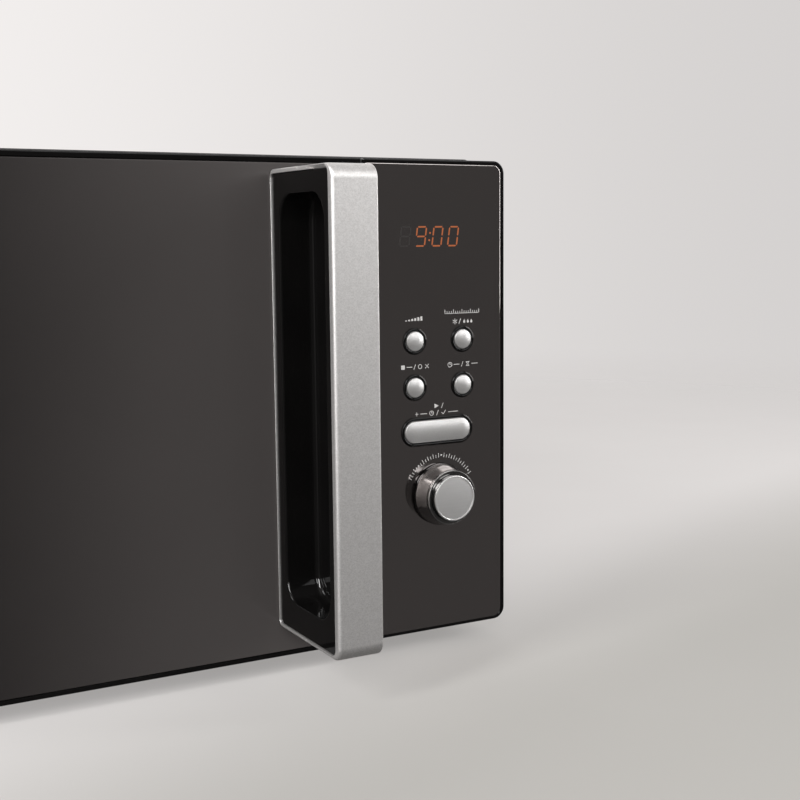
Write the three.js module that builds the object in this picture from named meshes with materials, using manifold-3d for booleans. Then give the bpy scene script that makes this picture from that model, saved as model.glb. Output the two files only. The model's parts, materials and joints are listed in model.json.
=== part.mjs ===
// Countertop microwave oven with a side-hinged mirror-glass door, a full-height bar handle and a
// right-hand control panel.
//
// Frame: millimetres, +X to the right as seen from the front, +Y to the back, +Z up. The origin is
// the centre of the footprint at the height that the feet stand on.

import * as THREE from 'three';
import { mergeVertices } from 'three/addons/utils/BufferGeometryUtils.js';
import Module from 'manifold-3d';

const wasm = await Module();
wasm.setup();

// ---------------------------------------------------------------- driving dimensions

const WIDTH = 452;                 // over the front bezel
const DEPTH = 400;                 // handle front to the rear spacer
const BEZEL_HEIGHT = 250;          // door and control panel
const BEZEL_BOTTOM = 10;
const COVER_TOP = 262.5;
const HANDLE_PROJECTION = 69;
const FRONT_THICKNESS = 30;        // door and control panel, front to cabinet
const PANEL_WIDTH = 85;            // control panel
const SEAM = 0.6;                  // between door and control panel
const GAP = 0.3;                   // between pieces that touch
const SHEET = 1;                   // chassis steel
const GLASS = 3.8;                 // door and panel glass

const LEFT = -WIDTH / 2;
const RIGHT = WIDTH / 2;
const FRONT = -DEPTH / 2 + HANDLE_PROJECTION;
const BACK = DEPTH / 2;
const BEZEL_TOP = BEZEL_BOTTOM + BEZEL_HEIGHT;
const CABINET = FRONT + FRONT_THICKNESS;      // front face of the cabinet's front plate
const DOOR_RIGHT = RIGHT - PANEL_WIDTH - SEAM / 2;
const PANEL_LEFT = RIGHT - PANEL_WIDTH + SEAM / 2;
const DOOR_BACK = CABINET - 1;
const BEZEL_RIM = 2.4;             // plastic rim outside the glass
const BEZEL_STEP = 0.4;            // glass stands proud of the rim by this
const SEAM_EDGE = 1.2;             // bezel rim beside the seam between door and panel
const DOOR_GLASS_EDGE = { low: 2.8, high: 3.2 };    // rim under and over the door glass
const PANEL_GLASS_EDGE = { low: 1.8, high: 2.2 };
const CORNER = 6.5;                // outer bezel corners
const GLASS_CORNER = 4.5;
const PLASTIC = 2.2;               // moulded wall

const COVER_SIDE = 222.4;          // cabinet cover, half width
const CHASSIS_SIDE = 220.9;        // chassis sheets inside the cover, half width
const BASE_BOTTOM = 12;
const REAR_SHEET = 195.6;          // inner face of the back panel

const CAVITY = { x: [-196, 108], y: [CABINET + SHEET + GAP, 186], z: [33, 231] };
const CAVITY_X = (CAVITY.x[0] + CAVITY.x[1]) / 2;
const CAVITY_Y = 43;
const FLOOR = CAVITY.z[0];

const SWING = 12;                  // hinge axis to the door's side and back
const HINGE = { x: LEFT + SWING, y: DOOR_BACK - SWING, pin: 3, arm: 6 };
const HINGE_ARMS = { upper: [247, 250], lower: [20, 23] };

const BUTTON = { cap: 5, bore: 5.35, ring: 6.94, proud: 2, ringProud: 0.9 };
const BUTTONS = {
  power_button: [169.9, 166.5],
  defrost_button: [198.95, 166.5],
  stop_button: [169.9, 142.2],
  clock_button: [198.95, 142.2],
};
const START = { x: 183.3, z: 118.6, width: 39.6, height: 11.5, ring: 1.95 };
const KNOB = { x: 184.8, z: 84.3, base: 16.5, rim: 14.5, cap: 12.5, rimProud: 12.5, proud: 15.5 };
const SHAFT = 3;

const HANDLE = {
  x: [90, 113], z: [26.3, 253.2], wall: 2, front: 4.2, seam: FRONT - 32.6, bosses: [60, 222],
};
const HANDLE_X = (HANDLE.x[0] + HANDLE.x[1]) / 2;
const RECESS = { y: [FRONT - 58, FRONT - 9], z: [42, 241], corner: 13, floor: 108.4 };

const LATCH = { x: [126, 130], hooks: [74, 196] };
const TURNTABLE = { radius: 127.5, z: 50.4, glass: 4 };
const TRACK = { radius: 96, roller: 8.4 };
const FAN = { x: 166, z: 176, radius: 40, y: [138, 152] };

const FINE = 24;                   // sides of a large round piece
const COARSE = 12;                 // sides of a small or hidden round piece
const ARC = 4;                     // steps in a rounded corner

// ---------------------------------------------------------------- solids

function solid(geometry) {
  const bare = geometry.clone();
  bare.deleteAttribute('normal');
  bare.deleteAttribute('uv');
  const merged = mergeVertices(bare, 1e-3);
  const corners = merged.index.array;
  const triangles = [];
  for (let i = 0; i < corners.length; i += 3) {
    const [a, b, c] = corners.slice(i, i + 3);
    if (a !== b && b !== c && c !== a) triangles.push(a, b, c);
  }
  const vertProperties = Float32Array.from(merged.attributes.position.array);
  const triVerts = Uint32Array.from(triangles);
  return new wasm.Manifold(new wasm.Mesh({ numProp: 3, vertProperties, triVerts }));
}

const join = (...bodies) => bodies.reduce((all, body) => all.add(body));
const cut = (body, ...tools) => tools.reduce((left, tool) => left.subtract(tool), body);

function block([x0, x1], [y0, y1], [z0, z1]) {
  const box = new THREE.BoxGeometry(x1 - x0, y1 - y0, z1 - z0);
  return solid(box.translate((x0 + x1) / 2, (y0 + y1) / 2, (z0 + z1) / 2));
}

function extrude(shape, depth, steps = ARC) {
  return new THREE.ExtrudeGeometry(shape, { depth, bevelEnabled: false, curveSegments: steps });
}

// Outlines are drawn in (x, z), (x, y) or (y, z) and pulled along the third axis.
function pullY(shape, [y0, y1], steps) {
  return solid(extrude(shape, y1 - y0, steps).rotateX(Math.PI / 2).translate(0, y1, 0));
}

function pullZ(shape, [z0, z1], steps) {
  return solid(extrude(shape, z1 - z0, steps).translate(0, 0, z0));
}

const YZ_TO_XYZ = new THREE.Matrix4().set(0, 0, 1, 0, 1, 0, 0, 0, 0, 1, 0, 0, 0, 0, 0, 1);

function pullX(shape, [x0, x1], steps) {
  return solid(extrude(shape, x1 - x0, steps).applyMatrix4(YZ_TO_XYZ).translate(x0, 0, 0));
}

// Profiles are [radius, height] pairs that run upwards on the outside.
function lathe(profile, sides) {
  return new THREE.LatheGeometry(profile.map(([r, h]) => new THREE.Vector2(r, h)), sides);
}

const turnY = (profile, [x, z], sides) => solid(lathe(profile, sides).translate(x, 0, z));
const turnZ = (profile, [x, y], sides) =>
  solid(lathe(profile, sides).rotateX(Math.PI / 2).translate(x, y, 0));
const turnX = (profile, [y, z], sides) =>
  solid(lathe(profile, sides).rotateZ(-Math.PI / 2).translate(0, y, z));

const rod = (radius, [low, high]) => [[0, low], [radius, low], [radius, high], [0, high]];
const sleeve = (inner, outer, [low, high]) =>
  [[inner, low], [outer, low], [outer, high], [inner, high], [inner, low]];

// A rectangle with a radius at each corner, from the low-low corner anticlockwise.
function rounded([x0, x1], [y0, y1], radii) {
  const [a, b, c, d] = Array.isArray(radii) ? radii : [radii, radii, radii, radii];
  const quarter = Math.PI / 2;
  const shape = new THREE.Shape();
  shape.moveTo(x0 + a, y0);
  shape.lineTo(x1 - b, y0);
  if (b) shape.absarc(x1 - b, y0 + b, b, -quarter, 0);
  shape.lineTo(x1, y1 - c);
  if (c) shape.absarc(x1 - c, y1 - c, c, 0, quarter);
  shape.lineTo(x0 + d, y1);
  if (d) shape.absarc(x0 + d, y1 - d, d, quarter, 2 * quarter);
  shape.lineTo(x0, y0 + a);
  if (a) shape.absarc(x0 + a, y0 + a, a, 2 * quarter, 3 * quarter);
  return shape;
}

function capsule(x, z, width, height) {
  return rounded(about(x, width / 2), about(z, height / 2), height / 2 - 0.01);
}

const grow = ([low, high], by) => [low - by, high + by];
const about = (middle, by) => [middle - by, middle + by];

// Rows of slots through a sheet, as cutting tools. Each slot is a block in the given ranges.
function slots(count, pitch, first, makeSlot) {
  return Array.from({ length: count }, (_, i) => makeSlot(first + i * pitch));
}

// ---------------------------------------------------------------- materials

const paint = (color, roughness, metalness) =>
  new THREE.MeshStandardMaterial({ color, roughness, metalness });

const MATERIAL = {
  mirror_glass: paint(0x3d3938, 0.08, 0.3),
  gloss_black: paint(0x101011, 0.15, 0),
  satin_silver: paint(0xc4c1c0, 0.35, 0.8),
  gunmetal: paint(0x5a5a5c, 0.25, 0.9),
  black_paint: paint(0x1b1b1c, 0.45, 0.1),
  enamel: paint(0xd9d7d2, 0.35, 0),
  zinc_steel: paint(0xb4b7b8, 0.4, 0.9),
  can_aluminium: paint(0xc2c4c6, 0.4, 0.9),
  moulded_black: paint(0x222224, 0.6, 0),
  moulded_white: paint(0xe6e4de, 0.55, 0),
  clear_glass: paint(0xdfe8e6, 0.05, 0),
  circuit_board: paint(0x2d6a3c, 0.6, 0),
  mica: paint(0xa39a86, 0.5, 0),
  copper: paint(0xa8562f, 0.4, 0.8),
  lamination: paint(0x55585a, 0.5, 0.7),
  foot_rubber: paint(0x161616, 0.85, 0),
};

const oven = new THREE.Group();

function piece(name, body, material) {
  const { vertProperties, triVerts } = body.getMesh();
  const geometry = new THREE.BufferGeometry();
  const places = new THREE.BufferAttribute(Float32Array.from(vertProperties), 3);
  geometry.setAttribute('position', places);
  geometry.setIndex(new THREE.BufferAttribute(Uint32Array.from(triVerts), 1));
  geometry.computeVertexNormals();
  const mesh = new THREE.Mesh(geometry, MATERIAL[material]);
  mesh.name = name;
  oven.add(mesh);
}

// ---------------------------------------------------------------- cabinet

const coverScrews = [
  ['cover_screw_left', -214.5, 150],
  ['cover_screw_right', 214.5, 150],
];

// Holes for the cover screws through sheets that lie within y.
function coverScrewHoles(y) {
  return coverScrews.map(([, x, z]) => turnY(rod(2.6, y), [x, z], COARSE));
}

function outerCover() {
  const bottom = 14;
  const [hem, back] = [197.1, 198.1];
  const arch = (margin, radius, y) => pullY(rounded(grow([-COVER_SIDE, COVER_SIDE], -margin),
    [bottom - margin, COVER_TOP - margin], [0, 0, radius, radius]), y, 3);
  const body = cut(
    arch(0, 3, [CABINET, back]),
    arch(SHEET, 2, [CABINET - 1, hem]),
    arch(14, 0, [hem - 1, back + 1]),
  );
  const vent = (side, y) => (z) => block(about(side, 2), y, [z, z + 3]);
  const vents = [
    ...slots(5, 10, 150, vent(COVER_SIDE, [92, 130])),
    ...slots(5, 10, 150, vent(COVER_SIDE, [138, 176])),
    ...slots(4, 10, 60, vent(-COVER_SIDE, [92, 130])),
    ...slots(4, 10, 60, vent(-COVER_SIDE, [138, 176])),
  ];
  return cut(body, ...vents, ...coverScrewHoles([hem - 1, back + 1]));
}

function coverScrew(x, z) {
  return join(
    turnY([[0, 198.4], [4.2, 198.4], [3.8, 199.4], [2.4, 199.9], [0, 199.9]], [x, z], COARSE),
    turnY(rod(2, [188, 198.6]), [x, z], COARSE),
  );
}

function backPanel() {
  const plate = pullY(rounded([-CHASSIS_SIDE, CHASSIS_SIDE], [14.3, 261], [0, 0, 2, 2]),
    [REAR_SHEET, REAR_SHEET + SHEET], 2);
  const raised = rounded([-160, 100], [70, 220], 12);
  const hollow = rounded([-160 + SHEET, 100 - SHEET], [70 + SHEET, 220 - SHEET], 12 - SHEET);
  const body = cut(
    join(plate, pullY(raised, [REAR_SHEET, BACK], 3)),
    pullY(hollow, [REAR_SHEET - 1, BACK - SHEET], 3),
  );
  const ventRow = (x) => (z) => block([x, x + 34], [REAR_SHEET - 1, BACK + 1], [z, z + 3]);
  const cuts = [
    ...slots(5, 10, 122, ventRow(-104)),
    ...slots(5, 10, 122, ventRow(-62)),
    ...slots(6, 10, 148, ventRow(150)),
    turnY(rod(7, [REAR_SHEET - 1, REAR_SHEET + 3]), [190, 44], COARSE),
    ...coverScrewHoles([REAR_SHEET - 1, REAR_SHEET + 3]),
  ];
  return cut(body, ...cuts);
}

function cordInlet() {
  const profile = [[4.2, 193], [9, 193], [9, 195.3], [6.7, 195.3], [6.7, 197.1], [9.5, 197.1],
    [8.5, 199.6], [4.2, 199.6], [4.2, 193]];
  return turnY(profile, [190, 44], COARSE);
}

function basePlate() {
  const y = [CABINET + SHEET + GAP, REAR_SHEET - GAP];
  const side = CHASSIS_SIDE - GAP;
  const flange = (x) => block(x, [y[0] + 4, y[1]], [BASE_BOTTOM, 28]);
  const body = join(
    block([-side, side], y, [BASE_BOTTOM, BASE_BOTTOM + SHEET]),
    flange([-side, -side + SHEET]),
    flange([side - SHEET, side]),
  );
  const vent = (x) => block([x, x + 4], [-60, -20], [BASE_BOTTOM - 1, BASE_BOTTOM + SHEET + 1]);
  return cut(body, ...slots(8, 10, 128, vent));
}

function foot(x, y) {
  const profile = [[0, 0], [10.5, 0], [12, 1.5], [14, BASE_BOTTOM - GAP], [0, BASE_BOTTOM - GAP]];
  return turnZ(profile, [x, y], COARSE);
}

function frontPlate() {
  const y = [CABINET, CABINET + SHEET];
  const through = grow(y, 1);
  const slot = (x, z) => block(x, through, z);
  const armSlots = Object.values(HINGE_ARMS).map((z) =>
    slot(about(HINGE.x, HINGE.arm + 0.6), grow(z, 0.4)));
  const hookSlots = LATCH.hooks.map((z) => slot(grow(LATCH.x, 2.4), [z - 9, z + 13]));
  return cut(
    pullY(rounded([-CHASSIS_SIDE, CHASSIS_SIDE], [14, 261], [0, 0, 2, 2]), y, 2),
    slot(CAVITY.x, CAVITY.z),
    slot([150, 214], [40, 240]),
    ...armSlots, ...hookSlots,
  );
}

function cavityLiner() {
  const [mouth, rear] = CAVITY.y;
  const outer = block(grow(CAVITY.x, SHEET), [mouth, rear + SHEET], grow(CAVITY.z, SHEET));
  const inside = block(CAVITY.x, [mouth - 1, rear], CAVITY.z);
  const wall = [CAVITY.x[1] - 1, CAVITY.x[1] + 3];
  const airSlot = (y) => block(wall, [y, y + 4], [190, 214]);
  const lampSlot = (y) => block(wall, [y, y + 4], [176, 200]);
  return cut(outer, inside,
    turnZ(rod(13, [FLOOR - 3, FLOOR + 3]), [CAVITY_X, CAVITY_Y], 24),
    block(wall, [10, 80], [110, 160]),
    ...slots(6, 9, -70, airSlot),
    ...slots(3, 9, 97, lampSlot));
}

function hinge([low, high], inward) {
  const behind = CABINET + SHEET + GAP;
  const pinRange = inward > 0 ? [low + 1, high + 11] : [low - 11, high - 1];
  const arm = rounded(about(HINGE.x, HINGE.arm), [HINGE.y - HINGE.arm, behind + 1],
    [5.9, 5.9, 0, 0]);
  const tab = inward > 0 ? [low, high + 22] : [low - 22, high];
  return join(
    pullZ(arm, [low, high], 3),
    turnZ(rod(HINGE.pin, pinRange), [HINGE.x, HINGE.y], COARSE),
    block([HINGE.x - HINGE.arm, HINGE.x + 14], [behind, behind + 2], tab),
  );
}

// ---------------------------------------------------------------- control panel

function controlHousing() {
  const z = [BEZEL_BOTTOM, BEZEL_TOP];
  const x = [PANEL_LEFT, RIGHT];
  const glassBack = FRONT + GLASS + GAP;
  const body = pullY(rounded(x, z, [1, CORNER, CORNER, 1]), [FRONT + BEZEL_STEP, CABINET - GAP]);
  const seat = rounded(
    [x[0] + SEAM_EDGE - GAP, x[1] - BEZEL_RIM],
    [z[0] + PANEL_GLASS_EDGE.low - GAP, z[1] - PANEL_GLASS_EDGE.high + GAP],
    [0.6, GLASS_CORNER, GLASS_CORNER, 0.6],
  );
  const pocket = pullY(seat, [FRONT - 1, glassBack]);
  const window = block([x[0] + 6, x[1] - 8], [FRONT, CABINET], grow(z, -10));
  const hollow = block([x[0] + PLASTIC, x[1] - PLASTIC - 1], [glassBack + 2.4, CABINET + 1],
    grow(z, -PLASTIC - 1));
  return cut(body, pocket, window, hollow);
}

// The start button's outline, grown by the given margin.
function startOutline(by) {
  return capsule(START.x, START.z, START.width + 2 * by, START.height + 2 * by);
}

// One round rod at each of the four round buttons.
function buttonRods(radius, y) {
  return Object.values(BUTTONS).map((place) => turnY(rod(radius, y), place, COARSE));
}

function controlGlass() {
  const outline = rounded(
    [PANEL_LEFT + SEAM_EDGE, RIGHT - BEZEL_RIM - GAP],
    [BEZEL_BOTTOM + PANEL_GLASS_EDGE.low, BEZEL_TOP - PANEL_GLASS_EDGE.high],
    [0.5, GLASS_CORNER, GLASS_CORNER, 0.5],
  );
  const through = [FRONT - 1, FRONT + GLASS + 1];
  return cut(
    pullY(outline, [FRONT, FRONT + GLASS]),
    ...buttonRods(BUTTON.ring + GAP, through),
    pullY(startOutline(START.ring + GAP), through),
    turnY(rod(5, through), [KNOB.x, KNOB.z], COARSE),
  );
}

function buttonSurround() {
  const behind = FRONT + GLASS + GAP;
  const front = FRONT - BUTTON.ringProud;
  const bore = [front - 1, behind + 3];
  const body = join(
    block([PANEL_LEFT + 8, RIGHT - 10], [behind, behind + 1.6], [105, 181]),
    ...buttonRods(BUTTON.ring, [front, behind + 1]),
    pullY(startOutline(START.ring), [front, behind + 1]),
  );
  return cut(body, ...buttonRods(BUTTON.bore, bore), pullY(startOutline(0.35), bore));
}

const BUTTON_FLANGE = [FRONT + GLASS + 2.4, FRONT + GLASS + 3.6];
const STEM_END = FRONT + 17.4;

function roundButton(place) {
  const cap = BUTTON.cap;
  const front = FRONT - BUTTON.proud;
  const [flangeFront, flangeBack] = BUTTON_FLANGE;
  const profile = [[0, front], [cap * 0.6, front + 0.15], [cap - 0.3, front + 0.6],
    [cap, front + 1], [cap, flangeFront], [cap + 1.6, flangeFront], [cap + 1.6, flangeBack],
    [2, flangeBack], [2, STEM_END], [0, STEM_END]];
  return turnY(profile, place, COARSE);
}

function startButton() {
  const front = FRONT - BUTTON.proud;
  return join(
    pullY(startOutline(-0.7), [front, front + 1]),
    pullY(startOutline(0), [front + 0.5, BUTTON_FLANGE[0] + 0.1]),
    pullY(startOutline(1.5), BUTTON_FLANGE),
    turnY(rod(2, [BUTTON_FLANGE[1] - 0.1, STEM_END]), [START.x, START.z], COARSE),
  );
}

function displayModule() {
  const back = FRONT + GLASS + GAP;
  return join(
    block([150, 216], [back, back + 7], [204, 232]),
    block([154, 212], [back + 6.9, back + 9], [208, 228]),
  );
}

function controlBoard() {
  const y = [FRONT + 19.6, FRONT + 21.2];
  const places = [...Object.values(BUTTONS), [START.x, START.z]];
  const keyswitch = ([x, z]) => block(about(x, 3), [y[0] - 0.8, y[0] + 0.1], about(z, 3));
  return join(
    block([PANEL_LEFT + 6, RIGHT - 8], y, [60, 240]),
    ...places.map(keyswitch),
    block([155, 211], [y[0] - 3, y[0] + 0.1], [210, 226]),
    block([154, 178], [y[1] - 0.1, y[1] + 6], [190, 220]),
    block([186, 204], [y[1] - 0.1, y[1] + 5], [70, 84]),
  );
}

function encoderBody() {
  const back = FRONT + 19.6 - GAP;
  const body = join(
    block(about(KNOB.x, 6.5), [back - 6, back], about(KNOB.z, 6.5)),
    turnY(rod(4.4, [back - 11, back - 5.9]), [KNOB.x, KNOB.z], COARSE),
  );
  return cut(body, turnY(rod(SHAFT + GAP, [back - 12, back - 2]), [KNOB.x, KNOB.z], COARSE));
}

function encoderShaft() {
  const back = FRONT + 19.6 - GAP - 2.4;
  const round = turnY(rod(SHAFT, [FRONT - 11, back]), [KNOB.x, KNOB.z], COARSE);
  const flat = block([KNOB.x + 1.6, KNOB.x + 5], [FRONT - 12, FRONT - 2], about(KNOB.z, 5));
  return cut(round, flat);
}

function knob() {
  const { base, rim, rimProud } = KNOB;
  const back = FRONT - 0.6;
  const face = FRONT - rimProud;
  const profile = [[SHAFT + GAP, face + 0.8], [12.4, face + 0.8], [12.4, face], [rim - 0.4, face],
    [rim, face + 0.5], [rim + 0.3, face + 2.2], [base - 0.7, back - 2], [base, back - 1.2],
    [base, back], [base - 2, back], [base - 2.8, back - 8], [7.5, back - 8], [7.5, back],
    [SHAFT + GAP, back], [SHAFT + GAP, face + 0.8]];
  return turnY(profile, [KNOB.x, KNOB.z], FINE);
}

function knobCap() {
  const { cap, rimProud, proud } = KNOB;
  const top = FRONT - proud;
  const seat = FRONT - rimProud + 0.5;
  const profile = [[0, top], [cap - 1, top], [cap - 0.3, top + 0.4], [cap - 0.3, seat], [0, seat]];
  return turnY(profile, [KNOB.x, KNOB.z], FINE);
}

// ---------------------------------------------------------------- door

// Seen from above: everything in front of the cabinet that clears it as the door swings, with the
// back left edge rounded about the hinge axis. step moves the square part clear of the round one.
function hingeSwing(radius, step = 0) {
  const shape = new THREE.Shape();
  const [front, back] = [FRONT - 5, CABINET + 5];
  shape.moveTo(HINGE.x - radius, front);
  shape.lineTo(RIGHT, front);
  shape.lineTo(RIGHT, back);
  shape.lineTo(HINGE.x + step, back);
  shape.lineTo(HINGE.x + step, HINGE.y + radius);
  shape.absarc(HINGE.x, HINGE.y, radius, Math.PI / 2, Math.PI);
  return shape;
}

// Room in the door for the hinge arms, from the closed door to the open one.
function armRoom() {
  return Object.values(HINGE_ARMS).map((z) =>
    block([LEFT - 1, HINGE.x + 7], [HINGE.y - 9.5, CABINET + 1], grow(z, 0.5)));
}

const FRAME = {
  x: [LEFT + 3.6, DOOR_RIGHT - 3.6], y: [FRONT + 6.8, DOOR_BACK - 1.2], z: [14, 256],
};
const WINDOW = { x: [-170, 82], z: [60, 204] };

function doorBezel() {
  const x = [LEFT, DOOR_RIGHT];
  const z = [BEZEL_BOTTOM, BEZEL_TOP];
  const glassBack = FRONT + GLASS + GAP;
  const outline = pullY(rounded(x, z, [CORNER, 1, 1, CORNER]), [FRONT + BEZEL_STEP, DOOR_BACK]);
  const body = outline.intersect(pullZ(hingeSwing(SWING), grow(z, 1)));
  const seat = rounded(
    [x[0] + BEZEL_RIM, x[1] - SEAM_EDGE + GAP],
    [z[0] + DOOR_GLASS_EDGE.low - GAP, z[1] - DOOR_GLASS_EDGE.high + GAP],
    [GLASS_CORNER, 0.6, 0.6, GLASS_CORNER],
  );
  const pocket = pullY(seat, [FRONT - 1, glassBack]);
  const window = block(grow(x, -26), [FRONT, CABINET], grow(z, -26));
  const hollowSwing = pullZ(hingeSwing(SWING - PLASTIC), grow(z, -PLASTIC));
  const hollow = block(grow(x, -PLASTIC), [glassBack + 2.2, CABINET + 1], grow(z, -PLASTIC));
  return cut(body, pocket, window, hollow.intersect(hollowSwing), ...armRoom());
}

// Round rods where the handle is screwed to the door, through the glass.
function handleBosses(radius, y) {
  return HANDLE.bosses.map((z) => turnY(rod(radius, y), [HANDLE_X, z], COARSE));
}

function doorGlass() {
  const outline = rounded(
    [LEFT + BEZEL_RIM + GAP, DOOR_RIGHT - SEAM_EDGE],
    [BEZEL_BOTTOM + DOOR_GLASS_EDGE.low, BEZEL_TOP - DOOR_GLASS_EDGE.high],
    [GLASS_CORNER, 0.5, 0.5, GLASS_CORNER],
  );
  return cut(
    pullY(outline, [FRONT, FRONT + GLASS]),
    ...handleBosses(5.4, [FRONT - 1, FRONT + GLASS + 1]),
  );
}

function doorFrame() {
  const { x, y, z } = FRAME;
  const swing = SWING - PLASTIC - 0.8;
  const body = block(x, y, z).intersect(pullZ(hingeSwing(swing, 1), z));
  const channel = cut(
    block(grow(x, -SHEET), [y[0] + SHEET, y[1] + 1], grow(z, -SHEET))
      .intersect(pullZ(hingeSwing(swing - SHEET, 1), z)),
    block(grow(WINDOW.x, SHEET), y, grow(WINDOW.z, SHEET)),
  );
  const lug = (range) => cut(
    block([HINGE.x - 7, HINGE.x + 12], [HINGE.y - 8.9, HINGE.y + 6.5], range),
    turnZ(rod(HINGE.pin + GAP, grow(range, 1)), [HINGE.x, HINGE.y], COARSE),
  );
  const lugs = [lug([HINGE_ARMS.upper[0] - 14, HINGE_ARMS.upper[0] - 0.5]),
    lug([HINGE_ARMS.lower[1] + 0.5, HINGE_ARMS.lower[1] + 14])];
  const opening = block(WINDOW.x, grow(y, 1), WINDOW.z);
  const seat = about(DOOR_BACK - 3, 3);
  const lowWall = block(grow(WINDOW.x, SHEET + 1), seat, grow(WINDOW.z, SHEET + 1));
  return join(cut(body, channel, opening, lowWall, ...armRoom()), ...lugs);
}

function doorScreen() {
  const plate = (by, y) => block(grow(WINDOW.x, -by), y, grow(WINDOW.z, -by));
  const front = FRAME.y[0] + 9;
  return cut(plate(GAP, [front, front + 3]), plate(8, [front + 0.8, front + 4]));
}

function innerWindow() {
  const outline = rounded(grow(WINDOW.x, 3), grow(WINDOW.z, 3), 4);
  return pullY(outline, about(DOOR_BACK - 4.7, 1), 3);
}

function chokeCover() {
  const y = [DOOR_BACK - 3.4, DOOR_BACK - 1.4];
  const inset = SHEET + GAP;
  const x = [HINGE.x + 1.5, FRAME.x[1] - inset];
  const ring = pullY(rounded(x, grow(FRAME.z, -inset), 3), y, 3);
  const opening = pullY(rounded(grow(WINDOW.x, -2), grow(WINDOW.z, -2), 4), grow(y, 1), 3);
  const hookSlots = LATCH.hooks.map((z) => block(grow(LATCH.x, 1.6), grow(y, 1), [z - 8, z + 12]));
  return cut(ring, opening, ...hookSlots, ...armRoom());
}

function doorLatch() {
  const [x0, x1] = LATCH.x;
  const [low, high] = LATCH.hooks;
  const bar = block([x0, x1], [DOOR_BACK - 15, DOOR_BACK - 9], [low - 6, high + 10]);
  const hooks = LATCH.hooks.flatMap((z) => {
    const tip = CABINET + 13;
    const arm = block([x0, x1], [DOOR_BACK - 9.1, tip], [z, z + 7]);
    const barb = new THREE.Shape([
      new THREE.Vector2(tip - 5, z + 0.1), new THREE.Vector2(tip - 5, z - 3),
      new THREE.Vector2(tip - 3, z - 3), new THREE.Vector2(tip, z + 0.1)]);
    return [arm, pullX(barb, [x0, x1])];
  });
  return join(bar, ...hooks);
}

// ---------------------------------------------------------------- handle

function handleOutline(margin, frontMargin = margin) {
  return rounded([-DEPTH / 2 + frontMargin, FRONT - GAP - margin], grow(HANDLE.z, -margin),
    [7, 4, 4, 7].map((radius) => Math.max(radius - margin, 1)));
}

function handleShell() {
  const [left, right] = HANDLE.x;
  const inside = handleOutline(HANDLE.wall, HANDLE.front);
  return cut(
    pullX(handleOutline(0), [left, right]),
    pullX(inside, [left - 1, right - HANDLE.wall]),
  );
}

const handleHalf = (y) => block(grow(HANDLE.x, 5), y, grow(HANDLE.z, 5));

function handleBase() {
  const shell = handleShell().intersect(handleHalf([HANDLE.seam + GAP / 2, FRONT + 1]));
  return join(shell, ...handleBosses(4.8, [FRONT - 1, FRONT + GLASS - GAP]));
}

function handleCover() {
  return handleShell().intersect(handleHalf([-DEPTH / 2 - 1, HANDLE.seam - GAP / 2]));
}

function handleRecess() {
  const left = HANDLE.x[0] + 0.5;
  const flange = pullX(handleOutline(HANDLE.wall + GAP, HANDLE.front + GAP), [left, left + 2]);
  const outside = rounded(grow(RECESS.y, 2), grow(RECESS.z, 2), RECESS.corner + 2);
  const tub = pullX(outside, [left, RECESS.floor + 2], 3);
  const pocket = pullX(rounded(RECESS.y, RECESS.z, RECESS.corner), [left - 1, RECESS.floor], 3);
  return cut(join(flange, tub), pocket);
}

// ---------------------------------------------------------------- turntable

function glassTurntable() {
  const { radius, z, glass } = TURNTABLE;
  const top = z + glass;
  const profile = [[0, z], [radius - 16, z], [radius, z + 8], [radius, z + 10.6],
    [radius - 3, z + 9.6], [radius - 17, top], [0, top]];
  return turnZ(profile, [CAVITY_X, CAVITY_Y], 36);
}

const THIRD = 2 * Math.PI / 3;

function turntableCoupler() {
  const hub = turnZ(rod(6, [FLOOR - 1.5, TURNTABLE.z - GAP]), [CAVITY_X, CAVITY_Y], COARSE);
  const top = [TURNTABLE.z - 8, TURNTABLE.z - GAP];
  const lobes = [0, 1, 2].map((i) => {
    const lobe = new THREE.BoxGeometry(14, 6, top[1] - top[0]);
    lobe.translate(7, 0, (top[0] + top[1]) / 2).rotateZ(i * THIRD);
    return solid(lobe.translate(CAVITY_X, CAVITY_Y, 0));
  });
  return join(hub, ...lobes);
}

const ROLLER_ANGLES = { roller_right: 0, roller_rear: THIRD, roller_front: 2 * THIRD };
const AXLE_Z = FLOOR + TRACK.roller + GAP;

function placeOnRing(geometry, angle) {
  return solid(geometry.rotateZ(angle).translate(CAVITY_X, CAVITY_Y, AXLE_Z));
}

function rollerRing() {
  const ring = turnZ(sleeve(TRACK.radius - 12, TRACK.radius - 7, [AXLE_Z - 3, AXLE_Z + 3]),
    [CAVITY_X, CAVITY_Y], FINE);
  const span = [TRACK.radius - 8, TRACK.radius + 6];
  const axles = Object.values(ROLLER_ANGLES).map((angle) =>
    placeOnRing(lathe(rod(2, span), 10).rotateZ(-Math.PI / 2), angle));
  return join(ring, ...axles);
}

function roller(angle) {
  const width = [TRACK.radius - 4.5, TRACK.radius + 4.5];
  return placeOnRing(lathe(sleeve(2.4, TRACK.roller, width), COARSE).rotateZ(-Math.PI / 2), angle);
}

function turntableMotor() {
  return join(
    turnZ(rod(24, [BASE_BOTTOM + SHEET + 1, 29]), [CAVITY_X, CAVITY_Y], 24),
    turnZ(rod(3.5, [28, FLOOR - 2]), [CAVITY_X, CAVITY_Y], COARSE),
    block(about(CAVITY_X, 30), about(CAVITY_Y, 5), [27, 28.4]),
  );
}

// ---------------------------------------------------------------- machine compartment

const COMPARTMENT = CAVITY.x[1] + SHEET + GAP;

function waveguide() {
  const [y, z] = [[0, 90], [100, 220]];
  const outer = block([COMPARTMENT, 136], y, z);
  const hollow = block([COMPARTMENT - 1, 136 - SHEET], grow(y, -SHEET), grow(z, -SHEET));
  return cut(outer, hollow, turnX(rod(14, [130, 140]), [45, 190], COARSE));
}

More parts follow.
